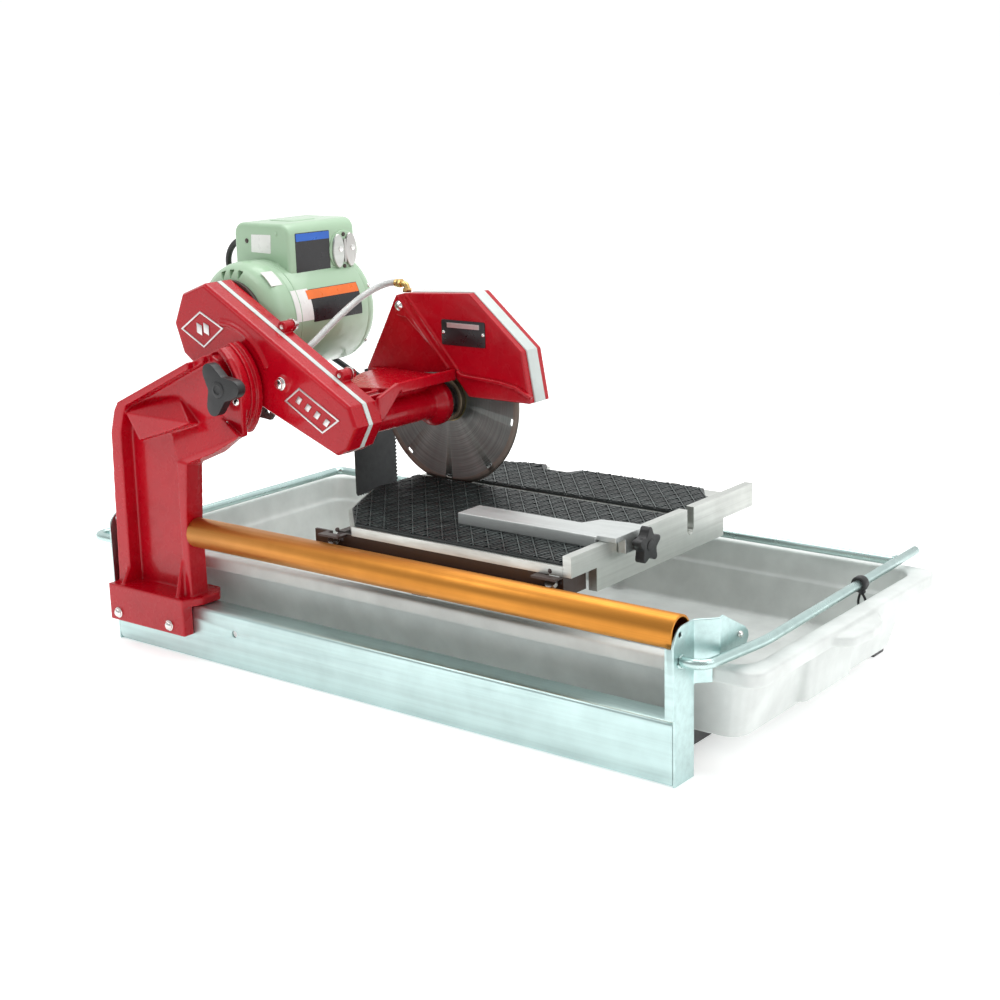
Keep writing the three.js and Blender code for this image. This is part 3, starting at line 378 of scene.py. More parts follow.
def sweep(pts, r, n=20, bm=None, radius=None):
    bm = bm or bmesh.new()
    P = [Vector(p) for p in pts]
    T = []
    for i in range(len(P)):
        a, b = P[max(i - 1, 0)], P[min(i + 1, len(P) - 1)]
        T.append((b - a).normalized())
    ref = Vector((0, 0, 1)) if abs(T[0].z) < 0.9 else Vector((1, 0, 0))
    u = (ref - T[0] * ref.dot(T[0])).normalized()
    rings = []
    for i, p in enumerate(P):
        if i:
            u = T[i - 1].rotation_difference(T[i]) @ u
        w = T[i].cross(u)
        rr = radius(i / (len(P) - 1)) if radius else r
        rings.append([bm.verts.new(p + (u * math.cos(2 * math.pi * k / n) + w * math.sin(2 * math.pi * k / n)) * rr) for k in range(n)])
    for A, B in zip(rings, rings[1:]):
        for k in range(n):
            bm.faces.new((A[k], A[(k + 1) % n], B[(k + 1) % n], B[k]))
    bm.faces.new(list(reversed(rings[0])))
    bm.faces.new(rings[-1])
    return bm


def bent(pts, r, n=10):
    P, out = [Vector(p) for p in pts], [Vector(pts[0])]
    for i in range(1, len(P) - 1):
        u, v = (P[i - 1] - P[i]).normalized(), (P[i + 1] - P[i]).normalized()
        half = u.angle(v) / 2
        rr = r[i - 1] if isinstance(r, (list, tuple)) else r
        t = rr / math.tan(half)
        o = P[i] + (u + v).normalized() * (rr / math.sin(half))
        p0, p1 = P[i] + u * t - o, P[i] + v * t - o
        for k in range(n + 1):
            out.append(o + p0.normalized().slerp(p1.normalized(), k / n) * rr)
    out.append(P[-1])
    return out


def catmull(pts, per=6):
    P = [Vector(p) for p in pts]
    P = [P[0] * 2 - P[1]] + P + [P[-1] * 2 - P[-2]]
    out = []
    for i in range(1, len(P) - 2):
        p0, p1, p2, p3 = P[i - 1], P[i], P[i + 1], P[i + 2]
        t = [0]
        for a, b in ((p0, p1), (p1, p2), (p2, p3)):
            t.append(t[-1] + max((b - a).length, 1e-6) ** 0.5)
        for k in range(per):
            s = t[1] + (t[2] - t[1]) * k / per
            A1 = p0 * ((t[1] - s) / (t[1] - t[0])) + p1 * ((s - t[0]) / (t[1] - t[0]))
            A2 = p1 * ((t[2] - s) / (t[2] - t[1])) + p2 * ((s - t[1]) / (t[2] - t[1]))
            A3 = p2 * ((t[3] - s) / (t[3] - t[2])) + p3 * ((s - t[2]) / (t[3] - t[2]))
            B1 = A1 * ((t[2] - s) / (t[2] - t[0])) + A2 * ((s - t[0]) / (t[2] - t[0]))
            B2 = A2 * ((t[3] - s) / (t[3] - t[1])) + A3 * ((s - t[1]) / (t[3] - t[1]))
            out.append(B1 * ((t[2] - s) / (t[2] - t[1])) + B2 * ((s - t[1]) / (t[2] - t[1])))
    out.append(P[-2])
    return out


def smooth_shade(o, angle=35):
    o.data.shade_smooth()
    for e in o.data.edges:
        e.use_edge_sharp = False
    bm = bmesh.new()
    bm.from_mesh(o.data)
    lim = angle * D2R
    for e in bm.edges:
        e.smooth = not (len(e.link_faces) != 2 or e.calc_face_angle(0) > lim)
    bm.to_mesh(o.data)
    bm.free()


def apply_mods(o):
    dg = bpy.context.evaluated_depsgraph_get()
    me = bpy.data.meshes.new_from_object(o.evaluated_get(dg))
    old = o.data
    o.modifiers.clear()
    o.data = me
    bpy.data.meshes.remove(old)


def put(name, bm, mat, body, bevel=0.0, seg=3, angle=35, replaces=(), remesh=0.0, iters=4, cut=None, shade=32, limit=30):
    bmesh.ops.transform(bm, matrix=Matrix.Diagonal((0.001, 0.001, 0.001, 1)) @ Matrix.Translation((DX, DY, DZ)), verts=bm.verts)
    me = bpy.data.meshes.new(name)
    bm.to_mesh(me)
    bm.free()
    o = bpy.data.objects.new(name, me)
    bpy.context.scene.collection.objects.link(o)
    if cut is not None:
        bmesh.ops.transform(cut, matrix=Matrix.Diagonal((0.001, 0.001, 0.001, 1)) @ Matrix.Translation((DX, DY, DZ)), verts=cut.verts)
        cm = bpy.data.meshes.new(name + "_cut")
        cut.to_mesh(cm)
        cut.free()
        co = bpy.data.objects.new(name + "_cut", cm)
        bpy.context.scene.collection.objects.link(co)
        md = o.modifiers.new("cut", "BOOLEAN")
        md.operation, md.object, md.solver = "DIFFERENCE", co, "EXACT"
        apply_mods(o)
        bpy.data.objects.remove(co)
        bpy.data.meshes.remove(cm)
    if remesh:
        remeshed(o, remesh, iters)
    if bevel:
        md = o.modifiers.new("bevel", "BEVEL")
        md.width, md.segments, md.limit_method, md.angle_limit = bevel / 1000, seg, "ANGLE", limit * D2R
        md.miter_outer = "MITER_ARC"
        apply_mods(o)
    smooth_shade(o, shade)
    o.data.materials.clear()
    o.data.materials.append(mat)
    if body:
        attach(o, body)
    if replaces:
        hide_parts(*replaces)
    return o


def remeshed(o, voxel, iters):
    md = o.modifiers.new("remesh", "REMESH")
    md.mode, md.voxel_size, md.adaptivity = "VOXEL", voxel / 1000, 0
    if iters:
        sm = o.modifiers.new("smooth", "SMOOTH")
        sm.factor, sm.iterations = 0.5, iters
    apply_mods(o)


def cast(node, name, mat, voxel, iters, slot=None, extra=None, also=()):
    """The CAD node with its edges and inner corners softened as a casting or moulding has them."""
    src = frame["nodes"][node]
    me = src.data.copy()
    o = bpy.data.objects.new(name, me)
    bpy.context.scene.collection.objects.link(o)
    if extra is not None:
        bmesh.ops.transform(extra, matrix=Matrix.Diagonal((0.001, 0.001, 0.001, 1)) @ Matrix.Translation((DX, DY, DZ)), verts=extra.verts)
        bm = bmesh.new()
        bm.from_mesh(me)
        tmp = bpy.data.meshes.new("tmp")
        extra.to_mesh(tmp)
        extra.free()
        bm.from_mesh(tmp)
        bm.to_mesh(me)
        bm.free()
        bpy.data.meshes.remove(tmp)
    remeshed(o, voxel, iters)
    smooth_shade(o, 50)
    o.data.materials.clear()
    o.data.materials.append(mat)
    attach(o, BODY[node])
    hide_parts(node, *also)
    return o


def keep(node, mat, bevel=0.0, seg=2, shade=32):
    """A CAD node whose shape is right: fine bevels and its material."""
    o = frame["nodes"][node]
    if bevel:
        md = o.modifiers.new("bevel", "BEVEL")
        md.width, md.segments, md.limit_method, md.angle_limit = bevel / 1000, seg, "ANGLE", 40 * D2R
        md.harden_normals = False
    if not o.material_slots:
        o.data.materials.append(mat)
    for s in o.material_slots:
        s.material = mat
    return o


def hexagon(x, z, r, a0=0):
    return [(x + r * math.cos((a0 + 60 * k) * D2R), z + r * math.sin((a0 + 60 * k) * D2R)) for k in range(6)]


# ------------------------------------------------------------------ camera and cord first
cam = bpy.data.cameras.new("camera")
cam.lens, cam.sensor_width = 61.0, 36.0
cam.clip_end = 50
co = bpy.data.objects.new("camera", cam)
bpy.context.scene.collection.objects.link(co)
R3 = Matrix(((0.7922442092308067, 0.6096546419945419, -0.025890740328554193),
             (-0.13134369506553023, 0.21180851347293214, 0.9684451390692813),
             (0.5959009537723418, -0.763844467882627, 0.24787836165813193))).transposed()
co.matrix_world = Matrix.Translation(V(963.893, -1549.649, 814.609)) @ R3.to_4x4()
bpy.context.scene.camera = co

# power cord: gland, behind the motor, floor, four turns, plug
CR = 4.5
route = [(-900, 225, 574), (-910.4, 225, 568.6), (-921.5, 225.5, 557.5), (-928.1, 227, 543.3), (-930.2, 231, 528), (-930.5, 240, 507), (-929.5, 258, 481), (-925, 284, 457),
         (-915, 318, 432), (-897, 357, 402), (-870, 400, 364), (-838, 442, 319), (-813, 482, 271), (-799, 520, 224), (-792, 554, 175), (-789.4, 582, 128), (-789, 598, 90),
         (-789, 606.6, 62.8), (-789, 610.5, 43), (-789, 621.9, 23.8), (-789, 640.5, 10.2), (-789, 662, CR + 0.5), (-789, 681, CR + 0.3)]
cx, cy = -734.8, 700


def blend_t(t, a, b):
    k = min(max((t - a) / (b - a), 0), 1)
    return k * k * (3 - 2 * k)


# two rings side by side on the floor and two on top of them, then off along the tangent
turns = []
for k in range(54):
    t = k / 16
    r = 54.2 - 8.6 * blend_t(t, 0.72, 0.98) + 8.6 * blend_t(t, 2.34, 2.62)
    a = (180 - 360 * t) * D2R
    turns.append((cx + r * math.cos(a), cy + r * math.sin(a), CR + 0.3 + 9.0 * blend_t(t, 1.42, 1.76)))
tail = [(cx + 35, cy + 41.7, 13.8), (cx + 52.2, cy + 27.3, 13.5), (cx + 69.5, cy + 12.8, 13.2)]
pts = route + turns[:53] + tail
end = pts[-1]
path = catmull(pts, 6)
cord = put("power_cord_run", sweep(path, CR, 20), CORDM, None, shade=60)
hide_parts("power_cord", "cord_coil")
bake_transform(cord)

# plug, at the end of the last turn
ex, ey, ez = end
px_, py_, pz_ = tail[-2]
d = Vector((ex - px_, ey - py_, ez - pz_)).normalized()
bmp = turned((ex, ey, ez), d, [(0, -1), (4.6, -1), (5.8, 1), (5.2, 4), (6.2, 5), (5.6, 9), (6.8, 10), (6.4, 14), (9, 18), (12.5, 24), (13, 44), (11.5, 46), (0, 46)], 32)
q = d.to_track_quat("Z", "Y")
o_ = Vector(end)
for sx_ in (-6, 6):
    c = [o_ + d * 45 + q @ Vector((sx_ + a * 0.8, b * 3.1, 0)) for a, b in ((-1, -1), (1, -1), (1, 1), (-1, 1))]
    e2 = [v + d * 16 for v in c]
    va, vb = [bmp.verts.new(v) for v in c], [bmp.verts.new(v) for v in e2]
    bmp.faces.new(va); bmp.faces.new(list(reversed(vb)))
    for k in range(4):
        bmp.faces.new((va[k], vb[k], vb[(k + 1) % 4], va[(k + 1) % 4]))
bmesh.ops.recalc_face_normals(bmp, faces=bmp.faces)
plug = put("cord_plug_moulded", bmp, BLACK, "frame", replaces=["cord_plug"], shade=40)
gl = turned((-876, 225, 582.7), (-0.9397, 0, -0.342), [(0, 0), (6, 0), (6, 6), (10.2, 6.2), (10.8, 7.2), (10.8, 10.4), (10.2, 11.4), (7.6, 12.2), (7.3, 14.2), (6.6, 14.6), (6.6, 16.2), (7.0, 16.6), (6.7, 19.0), (6.1, 19.4),
                                                                    (6.1, 20.8), (6.4, 21.2), (6.0, 23.4), (5.3, 23.8), (5.3, 25.0), (4.9, 25.4), (0, 25.4)], 40)
gland = put("cord_strain_relief", gl, BLACK, "head", replaces=["cord_gland"], shade=50)


# ------------------------------------------------------------------ frame
t3 = 3.0
outer = [(37, 0)] + arc(5, 5, 5, 270, 180, 6) + arc(5, 75, 5, 180, 90, 6) + [(37, 80)]
inner = [(37, 77)] + arc(5, 75, 2, 90, 180, 6) + arc(5, 5, 2, 180, 270, 6) + [(37, 3)]
bm = prism(outer + inner, "X", -970.6, -3.4)
cut = turned((-724, -5, 52), (0, 1, 0), [(0, 0), (5, 0), (5, 14), (0, 14)], 32)
corner = [(-975, -5), (-958.7, -5), (-958.7, 0)] + arc(-958.7, 12, 12, 270, 180, 8) + [(-975, 12)]
prism(corner, "Y", -6, 3.2, cut)
put("front_channel_beam", bm, ZINC, "frame", 0.5, 2, replaces=["front_beam"], cut=cut)
UP = cast("end_upright_right", "upright_right", ZINC, 0.75, 3, "zinc")
cast("end_upright_left", "upright_left", ZINC, 0.75, 3, "zinc")
# folded front edge of the right upright, wrapping the web's edge
put("upright_right_fold", prism([(-12, 83), (-1, 83), (-1, 170), (-9.5, 170), (-12, 165)], "Y", -3.3, -0.2), ZINC, "frame", 0.8, 2)
bm = turned((-806.3, 18.5, 184.5), (1, 0, 0), [(18.4, 0), (20.6, 0), (21.2, 0.6), (21.2, 802.2), (20.6, 802.8), (18.4, 802.8), (18.4, 0)], 128)
put("round_rail", bm, GOLD, "frame", replaces=["guide_tube"], shade=50)
R = 6.35
rz = 148
bm = sweep(bent([(-974.3, 13, rz), (-1034, 13, rz), (-1002.4, 86, rz), (-1002.4, 524, rz), (22.9, 524, rz)], 15, 12), R, 32)
put("rear_and_left_rod", bm, ZINC_Y, "frame", 0.6, 2, replaces=["rail_rod"], shade=50, limit=60)
bm = sweep(bent([(0.3, 13, 152), (30, 13, 152), (43.5, 130, 151), (28, 584, 149)], [20, 300], 14), R, 32)
put("right_side_rod", bm, ZINC_Y, "frame", 0.8, 2, replaces=["side_rod"], shade=50, limit=60)


def bead(name, path, r, body, mat, seed, wob=0.35):
    random.seed(seed)
    P = [Vector(p) for p in path]
    out = []
    for i, p in enumerate(P):
        out.append(p + Vector((random.uniform(-wob, wob) for _ in range(3))))
    bm = sweep(out, r, 10, radius=lambda t: r * (0.72 + 0.35 * abs(math.sin(t * len(P) * 1.35 + seed))) * (0.35 + 0.65 * min(1, 8 * t, 8 * (1 - t))))
    return put(name, bm, mat, body, shade=60)


def ring_path(c, r, axis, a0, a1, n):
    pts_ = arc(0, 0, r, a0, a1, n)
    return [(c[0], c[1] + p[0], c[2] + p[1]) if axis == "X" else (c[0] + p[0], c[1], c[2] + p[1]) if axis == "Y" else (c[0] + p[0], c[1] + p[1], c[2]) for p in pts_]


bead("weld_rod_right_low", ring_path((0.8, 13, 152), 7.2, "X", 190, 350, 16), 2.3, "frame", ZINC_Y, 3)
bead("weld_rod_right_high", ring_path((0.8, 13, 152), 7.0, "X", 60, 130, 8), 1.8, "frame", ZINC_Y, 4)
bead("weld_rear_corner", [(26 + 0.5 * math.sin(k), 516.4 + 1.6 * k, rz + 6.0) for k in range(10)], 1.9, "frame", ZINC_Y, 7, 0.4)
bead("weld_beam_right_back", [(-4.2, 5 + 3.0 * k, 81.0) for k in range(10)], 1.6, "frame", ZINC_Y, 8, 0.3)
# small bolt through the wing
put("wing_bolt", turned((21.8, 108, 162), (1, 0, 0), [(0, 4.6), (2.2, 4.2), (3.6, 2.9), (4.2, 1.2), (4.2, 0), (0, 0)], 24), BRIGHT, "frame", shade=60)

# tie round the side rod, its loop and its tail
tx, tz = 34.3, 149.8
bm = turned((tx, 392.6, tz), (0, 1, 0), [(6.6, 0), (9.6, 0.4), (10.6, 2.2), (10.4, 6.4), (10.7, 9.2), (9.4, 14.4), (6.6, 14.8), (6.6, 0)], 40)
loop = catmull([(tx, 396, tz - 9.6), (tx + 5, 398.5, tz - 14), (tx + 8.2, 400.5, tz - 24), (tx + 6, 400, tz - 32), (tx + 1.5, 398, tz - 33), (tx - 0.6, 397, tz - 25), (tx + 0.4, 397.5, tz - 16), (tx + 1.5, 399, tz - 9.8)], 6)
sweep(loop, 1.7, 10, bm)
tail_ = catmull([(tx + 2.5, 396.6, tz - 30), (tx + 2.8, 395, tz - 38), (tx + 0.2, 393, tz - 46)], 6)
sweep(tail_, 1.7, 10, bm)
knot = turned((tx + 4, 398, tz - 9.5), (0.55, 0.2, -0.8), [(0, -4.6), (3.4, -3.6), (4.8, 0), (3.6, 3.4), (0, 4.4)], 16)
tm = bpy.data.meshes.new("knot")
knot.to_mesh(tm)
knot.free()
bm.from_mesh(tm)
put("rod_tie", bm, BLACK, "frame", replaces=["rod_clip"], shade=60)
for n in ("cross_member_left", "cross_member_right", "rear_foot_bar"):
    keep(n, BLACKP, 1.4, 3)
cast("water_pan", "pan_moulding", WHITE, 2.1, 9, "white_plastic")
keep("drain_plug", BLACK, 0.4)

# ------------------------------------------------------------------ post
cast("post_casting", "post_red", RED, 1.35, 7, "red_paint")
for k, x in enumerate((-947, -837)):
    bm = turned((x, -19.2, 50), (0, -1, 0), [(0, -6), (7.6, -6), (7.8, 0), (7.8, 1.4), (7.2, 1.8), (6.4, 1.9), (6.2, 3.4), (5.0, 5.0), (2.8, 5.9), (0, 6.2)], 32)
    put("post_bolt_%d" % k, bm, BRIGHT, "frame", replaces=["post_bolt_left" if k == 0 else "post_bolt_right"], shade=50)
keep("pivot_pin", STEEL, 0.3)

# ------------------------------------------------------------------ head: belt guard
GUARD = [(-814, 528), (-858, 512), (-876.5, 472), (-862, 431), (-848, 421), (-576, 316), (-558, 324.5), (-541, 355), (-551, 380)]
ex_ = bmesh.new()
ridge = [(-783 + 91 * math.cos(a * D2R), 68.5, 388 + 91 * math.sin(a * D2R)) for a in range(22, 92, 3)]
sweep(ridge, 4.2, 14, ex_)
turned((-667, 69.5, 404), (0, -1, 0), [(0, -4), (13, -4), (12, 0), (10.5, 3.5), (9.2, 4.6), (4.4, 4.6), (4.4, -4.0), (0, -4)], 32, ex_)
cast("belt_guard_outer", "belt_guard_red", RED, 1.1, 4, "red_paint", extra=ex_)
keep("guard_gasket", GREY, 0.6)
bm = prism(hexagon(-667, 404, 7.2, 12), "Y", 57.2, 62.2)
turned((-667, 62.4, 404), (0, -1, 0), [(0, -1), (9.4, -1), (9.4, 0.6), (8.6, 1.2), (0, 1.2)], 32, bm)
put("guard_hex_head", bm, BRIGHT, "head", 0.5, 2, replaces=["guard_hex_bolt"])


def badge(name, quad, y, body, inner=True):
    """Raised plain frame with its middle cut out."""
    q = ccw(quad)
    bm = prism(q, "Y", y, y + 2)
    inn = offset(q, -2.6)
    put(name + "_frame", bm, SILVER, body, 0.35, 2, cut=prism(inn, "Y", y - 2, y + 4))


def shrink(quad, k):
    cx_, cz_ = sum(p[0] for p in quad) / 4, sum(p[1] for p in quad) / 4
    return [(cx_ + (p[0] - cx_) * k, cz_ + (p[1] - cz_) * k) for p in quad]


badge("badge_diamond", [(-864.6, 465), (-822.9, 492.7), (-777, 471.3), (-819, 440.9)], 66.6, "head")
badge("badge_long", [(-666.8, 379.7), (-637.1, 400.6), (-564.8, 362.4), (-597.3, 341.3)], 66.6, "head")
# plain raised bars in place of lettering
for k, (cx_, cz_) in enumerate(((-826, 467), (-812, 468))):
    w_, h_ = 5.2, 9
    put("badge_bar_%d" % k, prism([(cx_ - w_, cz_ - h_ + 4), (cx_ + w_, cz_ - h_), (cx_ + w_, cz_ + h_ - 4), (cx_ - w_, cz_ + h_)], "Y", 66.5, 68), SILVER, "head", 0.5, 2)
for k in range(4):
    u = (k + 0.5) / 4
    ax_, az_ = -648.5 + u * 66, 388.5 - u * 34.5
    put("badge_dash_%d" % k, prism([(ax_ - 5.5, az_ - 3.4), (ax_ + 1.2, az_ + 4.8), (ax_ + 8.6, az_ + 1.0), (ax_ + 1.8, az_ - 7.2)], "Y", 66.5, 68), SILVER, "head", 0.5, 2)

cast("head_casting", "head_red", RED, 1.15, 5, "red_paint")
for k, (x, z) in enumerate(((-700, 474), (-596, 415))):
    bm = turned((x, 121.6, z), (0, 1, 0), [(0, 0), (9.6, 0), (9.6, 1.4), (7.4, 1.8), (7.2, 2.2), (7.2, 8.6), (6.6, 9.4), (3.6, 9.4), (3.4, 6.4), (0, 6.2)], 36)
    turned((x, 103.2, z), (0, 1, 0), [(0, 0), (3.2, 0), (3.2, 19), (0, 19)], 16, bm)
    put("guard_cap_screw_%d" % k, bm, BRIGHT, "head", replaces=["guard_bolt_upper" if k == 0 else "guard_bolt_lower"], shade=50)
# ------------------------------------------------------------------ motor
keep("motor_mount", DARK, 0.8)
MX, MZ = -818, 470
prof = [(26, 128), (58, 128), (63, 129), (70, 131.5), (76.5, 136), (80.5, 142), (82.8, 149.5), (83.4, 156), (83.4, 167.4), (82.4, 168), (76, 168), (74, 150), (62, 137), (26, 136), (26, 128)]
cut = bmesh.new()
for a in (80, 94, 108):
    c_, s_ = math.cos(a * D2R), math.sin(a * D2R)
    tri = [(MX + 74 * math.cos((a - 4.2) * D2R), MZ + 74 * math.sin((a - 4.2) * D2R)), (MX + 74 * math.cos((a + 4.2) * D2R), MZ + 74 * math.sin((a + 4.2) * D2R)), (MX + 59 * c_, MZ + 59 * s_)]
    prism(rounded(tri, 1.2, 3), "Y", 120, 141, cut)
bm = turned((MX, 0, MZ), (0, 1, 0), prof, 112)
put("motor_bell", bm, MINT, "head", replaces=["motor_end_bell"], cut=cut, shade=40)
prof = [(60, 168.4), (80.8, 168.4), (81.6, 169), (82.4, 170.4), (82.4, 322), (81.8, 323.2), (82.3, 324.4), (81.9, 330), (79.4, 337), (74, 342.6), (64, 345.8), (34, 347), (9, 347), (9, 336), (60, 326), (60, 168.4)]
bm = turned((MX, 0, MZ), (0, 1, 0), prof, 128)
put("motor_can", bm, MINT, "head", replaces=["motor_shell"], shade=40)
put("motor_seam", turned((MX, 0, MZ), (0, 1, 0), [(82.2, 180), (83.1, 180.6), (83.1, 182), (82.2, 182.6), (82.2, 180)], 112), MINT, "head", shade=40)
for k, a in enumerate((-38, 24, 142, 205)):
    c_, s_ = math.cos(a * D2R), math.sin(a * D2R)
    put("motor_can_screw_%d" % k, turned((MX + 82.0 * c_, 333.5, MZ + 82.0 * s_), (c_, 0, s_), [(0, -3), (3.4, -3), (3.4, 0.4), (2.6, 1.3), (0, 1.5)], 20), BRIGHT, "head", shade=50)
bm = prism(rounded([(-876, 505), (-766, 505), (-766, 604), (-876, 604)], [0, 0, 17, 17], 8), "Y", 192, 332)
put("switch_box", bm, MINT, "head", 5.5, 5, replaces=["conduit_box"], limit=40)
put("switch_box_lid_pad", prism(rounded([(-846, 232), (-796, 232), (-796, 286), (-846, 286)], 9, 5), "Z", 602.5, 605), MINT, "head", 1.6, 3)
put("switch_box_foot", prism(rounded([(-762.5, 500), (-762.5, 531), (-879, 531), (-879, 500)], 3, 3), "Y", 188.5, 335.5), MINT, "head", 2.0, 3)
for k, (x, z) in enumerate(((-850, 578), (-833, 547), (-790, 545), (-790, 590))):
    bm = turned((x, 192.4, z), (0, -1, 0), [(0, -2), (3.6, -2), (3.6, 0.5), (2.8, 1.5), (0, 1.8)], 20)
    put("box_screw_%d" % k, bm, DARK if k < 2 else MINT, "head", shade=50)
# outlet with its two oval spring lids
cy0, cz0 = 305, 557
bm = turned((-767, cy0, cz0), (1, 0, 0), [(0, 0), (29.5, 0), (29.5, 2.2), (28.6, 3.0), (0, 3.0)], 64)
put("outlet_plate", bm, MINT, "head", 0.4, 2)
for k, (yy, mt_) in enumerate(((cy0 - 12.9, ALU_MILL), (cy0 + 12.9, STEEL))):
    oval = [(yy + 12.4 * math.cos(t * math.pi / 24), cz0 + 25.5 * math.sin(t * math.pi / 24)) for t in range(48)]
    bm = prism(oval, "X", -763.8, -760.4, top=offset(oval, -1.2))
    put("outlet_lid_%d" % k, bm, mt_, "head", 0.9, 3, replaces=["outlet_lid_front" if k == 0 else "outlet_lid_rear"])
    put("outlet_lid_boss_%d" % k, turned((-761, yy + 3, cz0 + 3), (1, 0, 0), [(0, 0), (4.6, 0), (4.2, 1.6), (2.6, 2.2), (0, 2.2)], 24), BRIGHT, "head", shade=50)
for k, zz in enumerate((cz0 - 23.5, cz0 + 23.5)):
    put("outlet_screw_%d" % k, turned((-764.2, cy0, zz), (1, 0, 0), [(0, 0), (3.3, 0), (3.1, 1.6), (2.2, 2.4), (0, 2.6)], 20), DARK, "head", shade=50)
put("outlet_knuckle", sweep([(-761.5, cy0, cz0 - 17 + 2 * k) for k in range(18)], 1.9, 12), STEEL, "head", shade=50)


def decal(name, mat, quad, y=None, x=None, r=3):
    if y is not None:
        return put(name, prism(rounded(quad, r, 3), "Y", y - 0.5, y + 0.4), mat, "head", 0.12, 1)
    return put(name, prism(rounded(quad, r, 3), "X", x - 0.4, x + 0.5), mat, "head", 0.12, 1)


decal("blank_label_front", LABEL_W, [(-841.5, 562), (-802, 561), (-800.5, 588), (-840, 587.5)], y=192, r=1.5)
decal("blank_label_side", LABEL_K, [(206, 529.5), (277, 528.8), (277, 589), (206, 590)], x=-766, r=2)
decal("blank_label_side_band", LABEL_B, [(207, 578), (276, 577.2), (276, 588), (207, 589)], x=-765.6, r=1)


def wrapped(name, mat, y0, y1, a0, a1, rr=82.6, n=16):
    """Thin label bent round the motor."""
    pts_ = arc(MX, MZ, rr + 0.45, a0, a1, n) + list(reversed(arc(MX, MZ, rr - 0.3, a0, a1, n)))
    return put(name, prism(pts_, "Y", y0, y1), mat, "head", shade=50)


wrapped("blank_wrap_dark", LABEL_K, 205.5, 308, -3.5, 29.5)
wrapped("blank_wrap_pale", LABEL_W, 169.4 + 1.2, 205.2, -1.0, 31, rr=82.55)
wrapped("blank_wrap_orange", LABEL_O, 200, 307, 19.5, 28.9, rr=82.95)
wrapped("blank_wrap_bell", LABEL_W, 141, 163, 39, 58, rr=83.4)

# drive and spindle
for n, m_ in (("motor_shaft", STEEL), ("motor_pulley", DARK), ("spindle_pulley", DARK), ("spindle_shaft", STEEL), ("bearing_front", STEEL), ("bearing_rear", STEEL), ("blade_flange", STEEL), ("spindle_nut", STEEL)):
    keep(n, m_, 0.3)
keep("drive_belt", RUBBER, 0.5)
cut = bmesh.new()
for k in range(9):
    a = (k * 40 - 92) * D2R
    c_, s_ = math.cos(a), math.sin(a)
    o0 = Vector((-580 + 116 * c_, 350 + 116 * s_))
    u_, w_ = Vector((-s_, c_)), Vector((c_, s_))
    rr_ = [tuple(o0 + u_ * p[0] + w_ * p[1]) for p in rounded([(-5.6, -2.6), (5.6, -2.6), (5.6, 2.6), (-5.6, 2.6)], 2.4, 4)]
    prism(rr_, "Y", 310, 322, cut)
bm = turned((-580, 0, 350), (0, 1, 0), [(8.3, 314.75), (116.6, 314.75), (116.9, 314.6), (126.6, 314.6), (127, 315.0), (127, 317.0), (126.6, 317.4), (116.9, 317.4), (116.6, 317.25), (8.3, 317.25), (8.3, 314.75)], 180)
put("diamond_blade", bm, BLADEM, "spindle", replaces=["saw_blade"], cut=cut, shade=30)
put("blade_collar", turned((-580, 0, 350), (0, 1, 0), [(9.4, 304.2), (30, 304.2), (32, 305.4), (32, 313.2), (30.4, 314.5), (9.4, 314.5), (9.4, 304.2)], 72), BRONZE, "spindle", shade=40)
put("spindle_seal", turned((-580, 0, 350), (0, 1, 0), [(9.6, 286.3), (29, 286.3), (30.4, 287.4), (30.4, 291), (27, 294), (22, 297), (22, 302), (9.6, 302), (9.6, 286.3)], 64), DARK, "head", shade=40)

# ------------------------------------------------------------------ blade guard
ex_ = bmesh.new()
cast("blade_guard_rear", "guard_fixed_red", RED, 0.95, 4, "red_paint")
put("guard_fixed_ledge", prism([(-704, 386), (-650, 386), (-650, 389.5), (-704, 389.5)], "Y", 288.6, 294.4), RED, "head", 1.2, 3)
ex_ = bmesh.new()
for (a, b) in (((-646, 497), (-556, 399)), ((-630, 499.5), (-540, 399))):
    sweep([(a[0] + (b[0] - a[0]) * k / 12, 288.6, a[1] + (b[1] - a[1]) * k / 12) for k in range(13)], 2.3, 12, ex_)
HO = [(-634, 501.5), (-515, 507.5), (-428, 433), (-415, 366)]
cast("blade_guard_hood", "hood_red", RED, 0.95, 4, "red_paint", extra=ex_)
# pale strip between the two halves of the hood, round its outer edge
outline = [(-628, 503.2), (-514.6, 509.2), (-425.2, 434.4), (-411.6, 363)]
strip_o = [(-628, 504.2), (-514.2, 510.2), (-424.2, 434.9), (-410.6, 363)]
strip_i = [(-413.6, 362), (-427.2, 433.6), (-515.6, 507), (-628, 501)]
put("hood_strip", prism(strip_o + strip_i, "Y", 299, 322), GREY, "hood", 0.5, 2)
put("hood_lip", prism([(-540, 396), (-530, 390), (-464, 386), (-436, 381), (-410, 369), (-408, 373.4), (-434, 385.6), (-463, 390.4), (-529, 394.4), (-537, 399.6)], "Y", 282.6, 289.4), RED, "hood", 1.2, 3)
bm = prism(rounded([(-566, 434), (-488, 434), (-488, 470), (-566, 470)], 2.5, 4), "Y", 286.9, 288.3)
put("plate_blank", bm, LABEL_K, "hood", 0.25, 2)
for k, (x, z) in enumerate(((-562.5, 452), (-491.5, 452))):
    put("plate_rivet_%d" % k, turned((x, 287.0, z), (0, -1, 0), [(0, -1), (3.0, -1), (2.8, 0.5), (1.8, 1.4), (0, 1.7)], 20), BRIGHT, "hood", shade=50)
put("plate_band", prism([(-556, 459), (-498, 459), (-498, 466), (-556, 466)], "Y", 286.7, 287.6), SILVER, "hood", 0.2, 1)
keep("hood_hinge_pin", BRIGHT, 0.3)
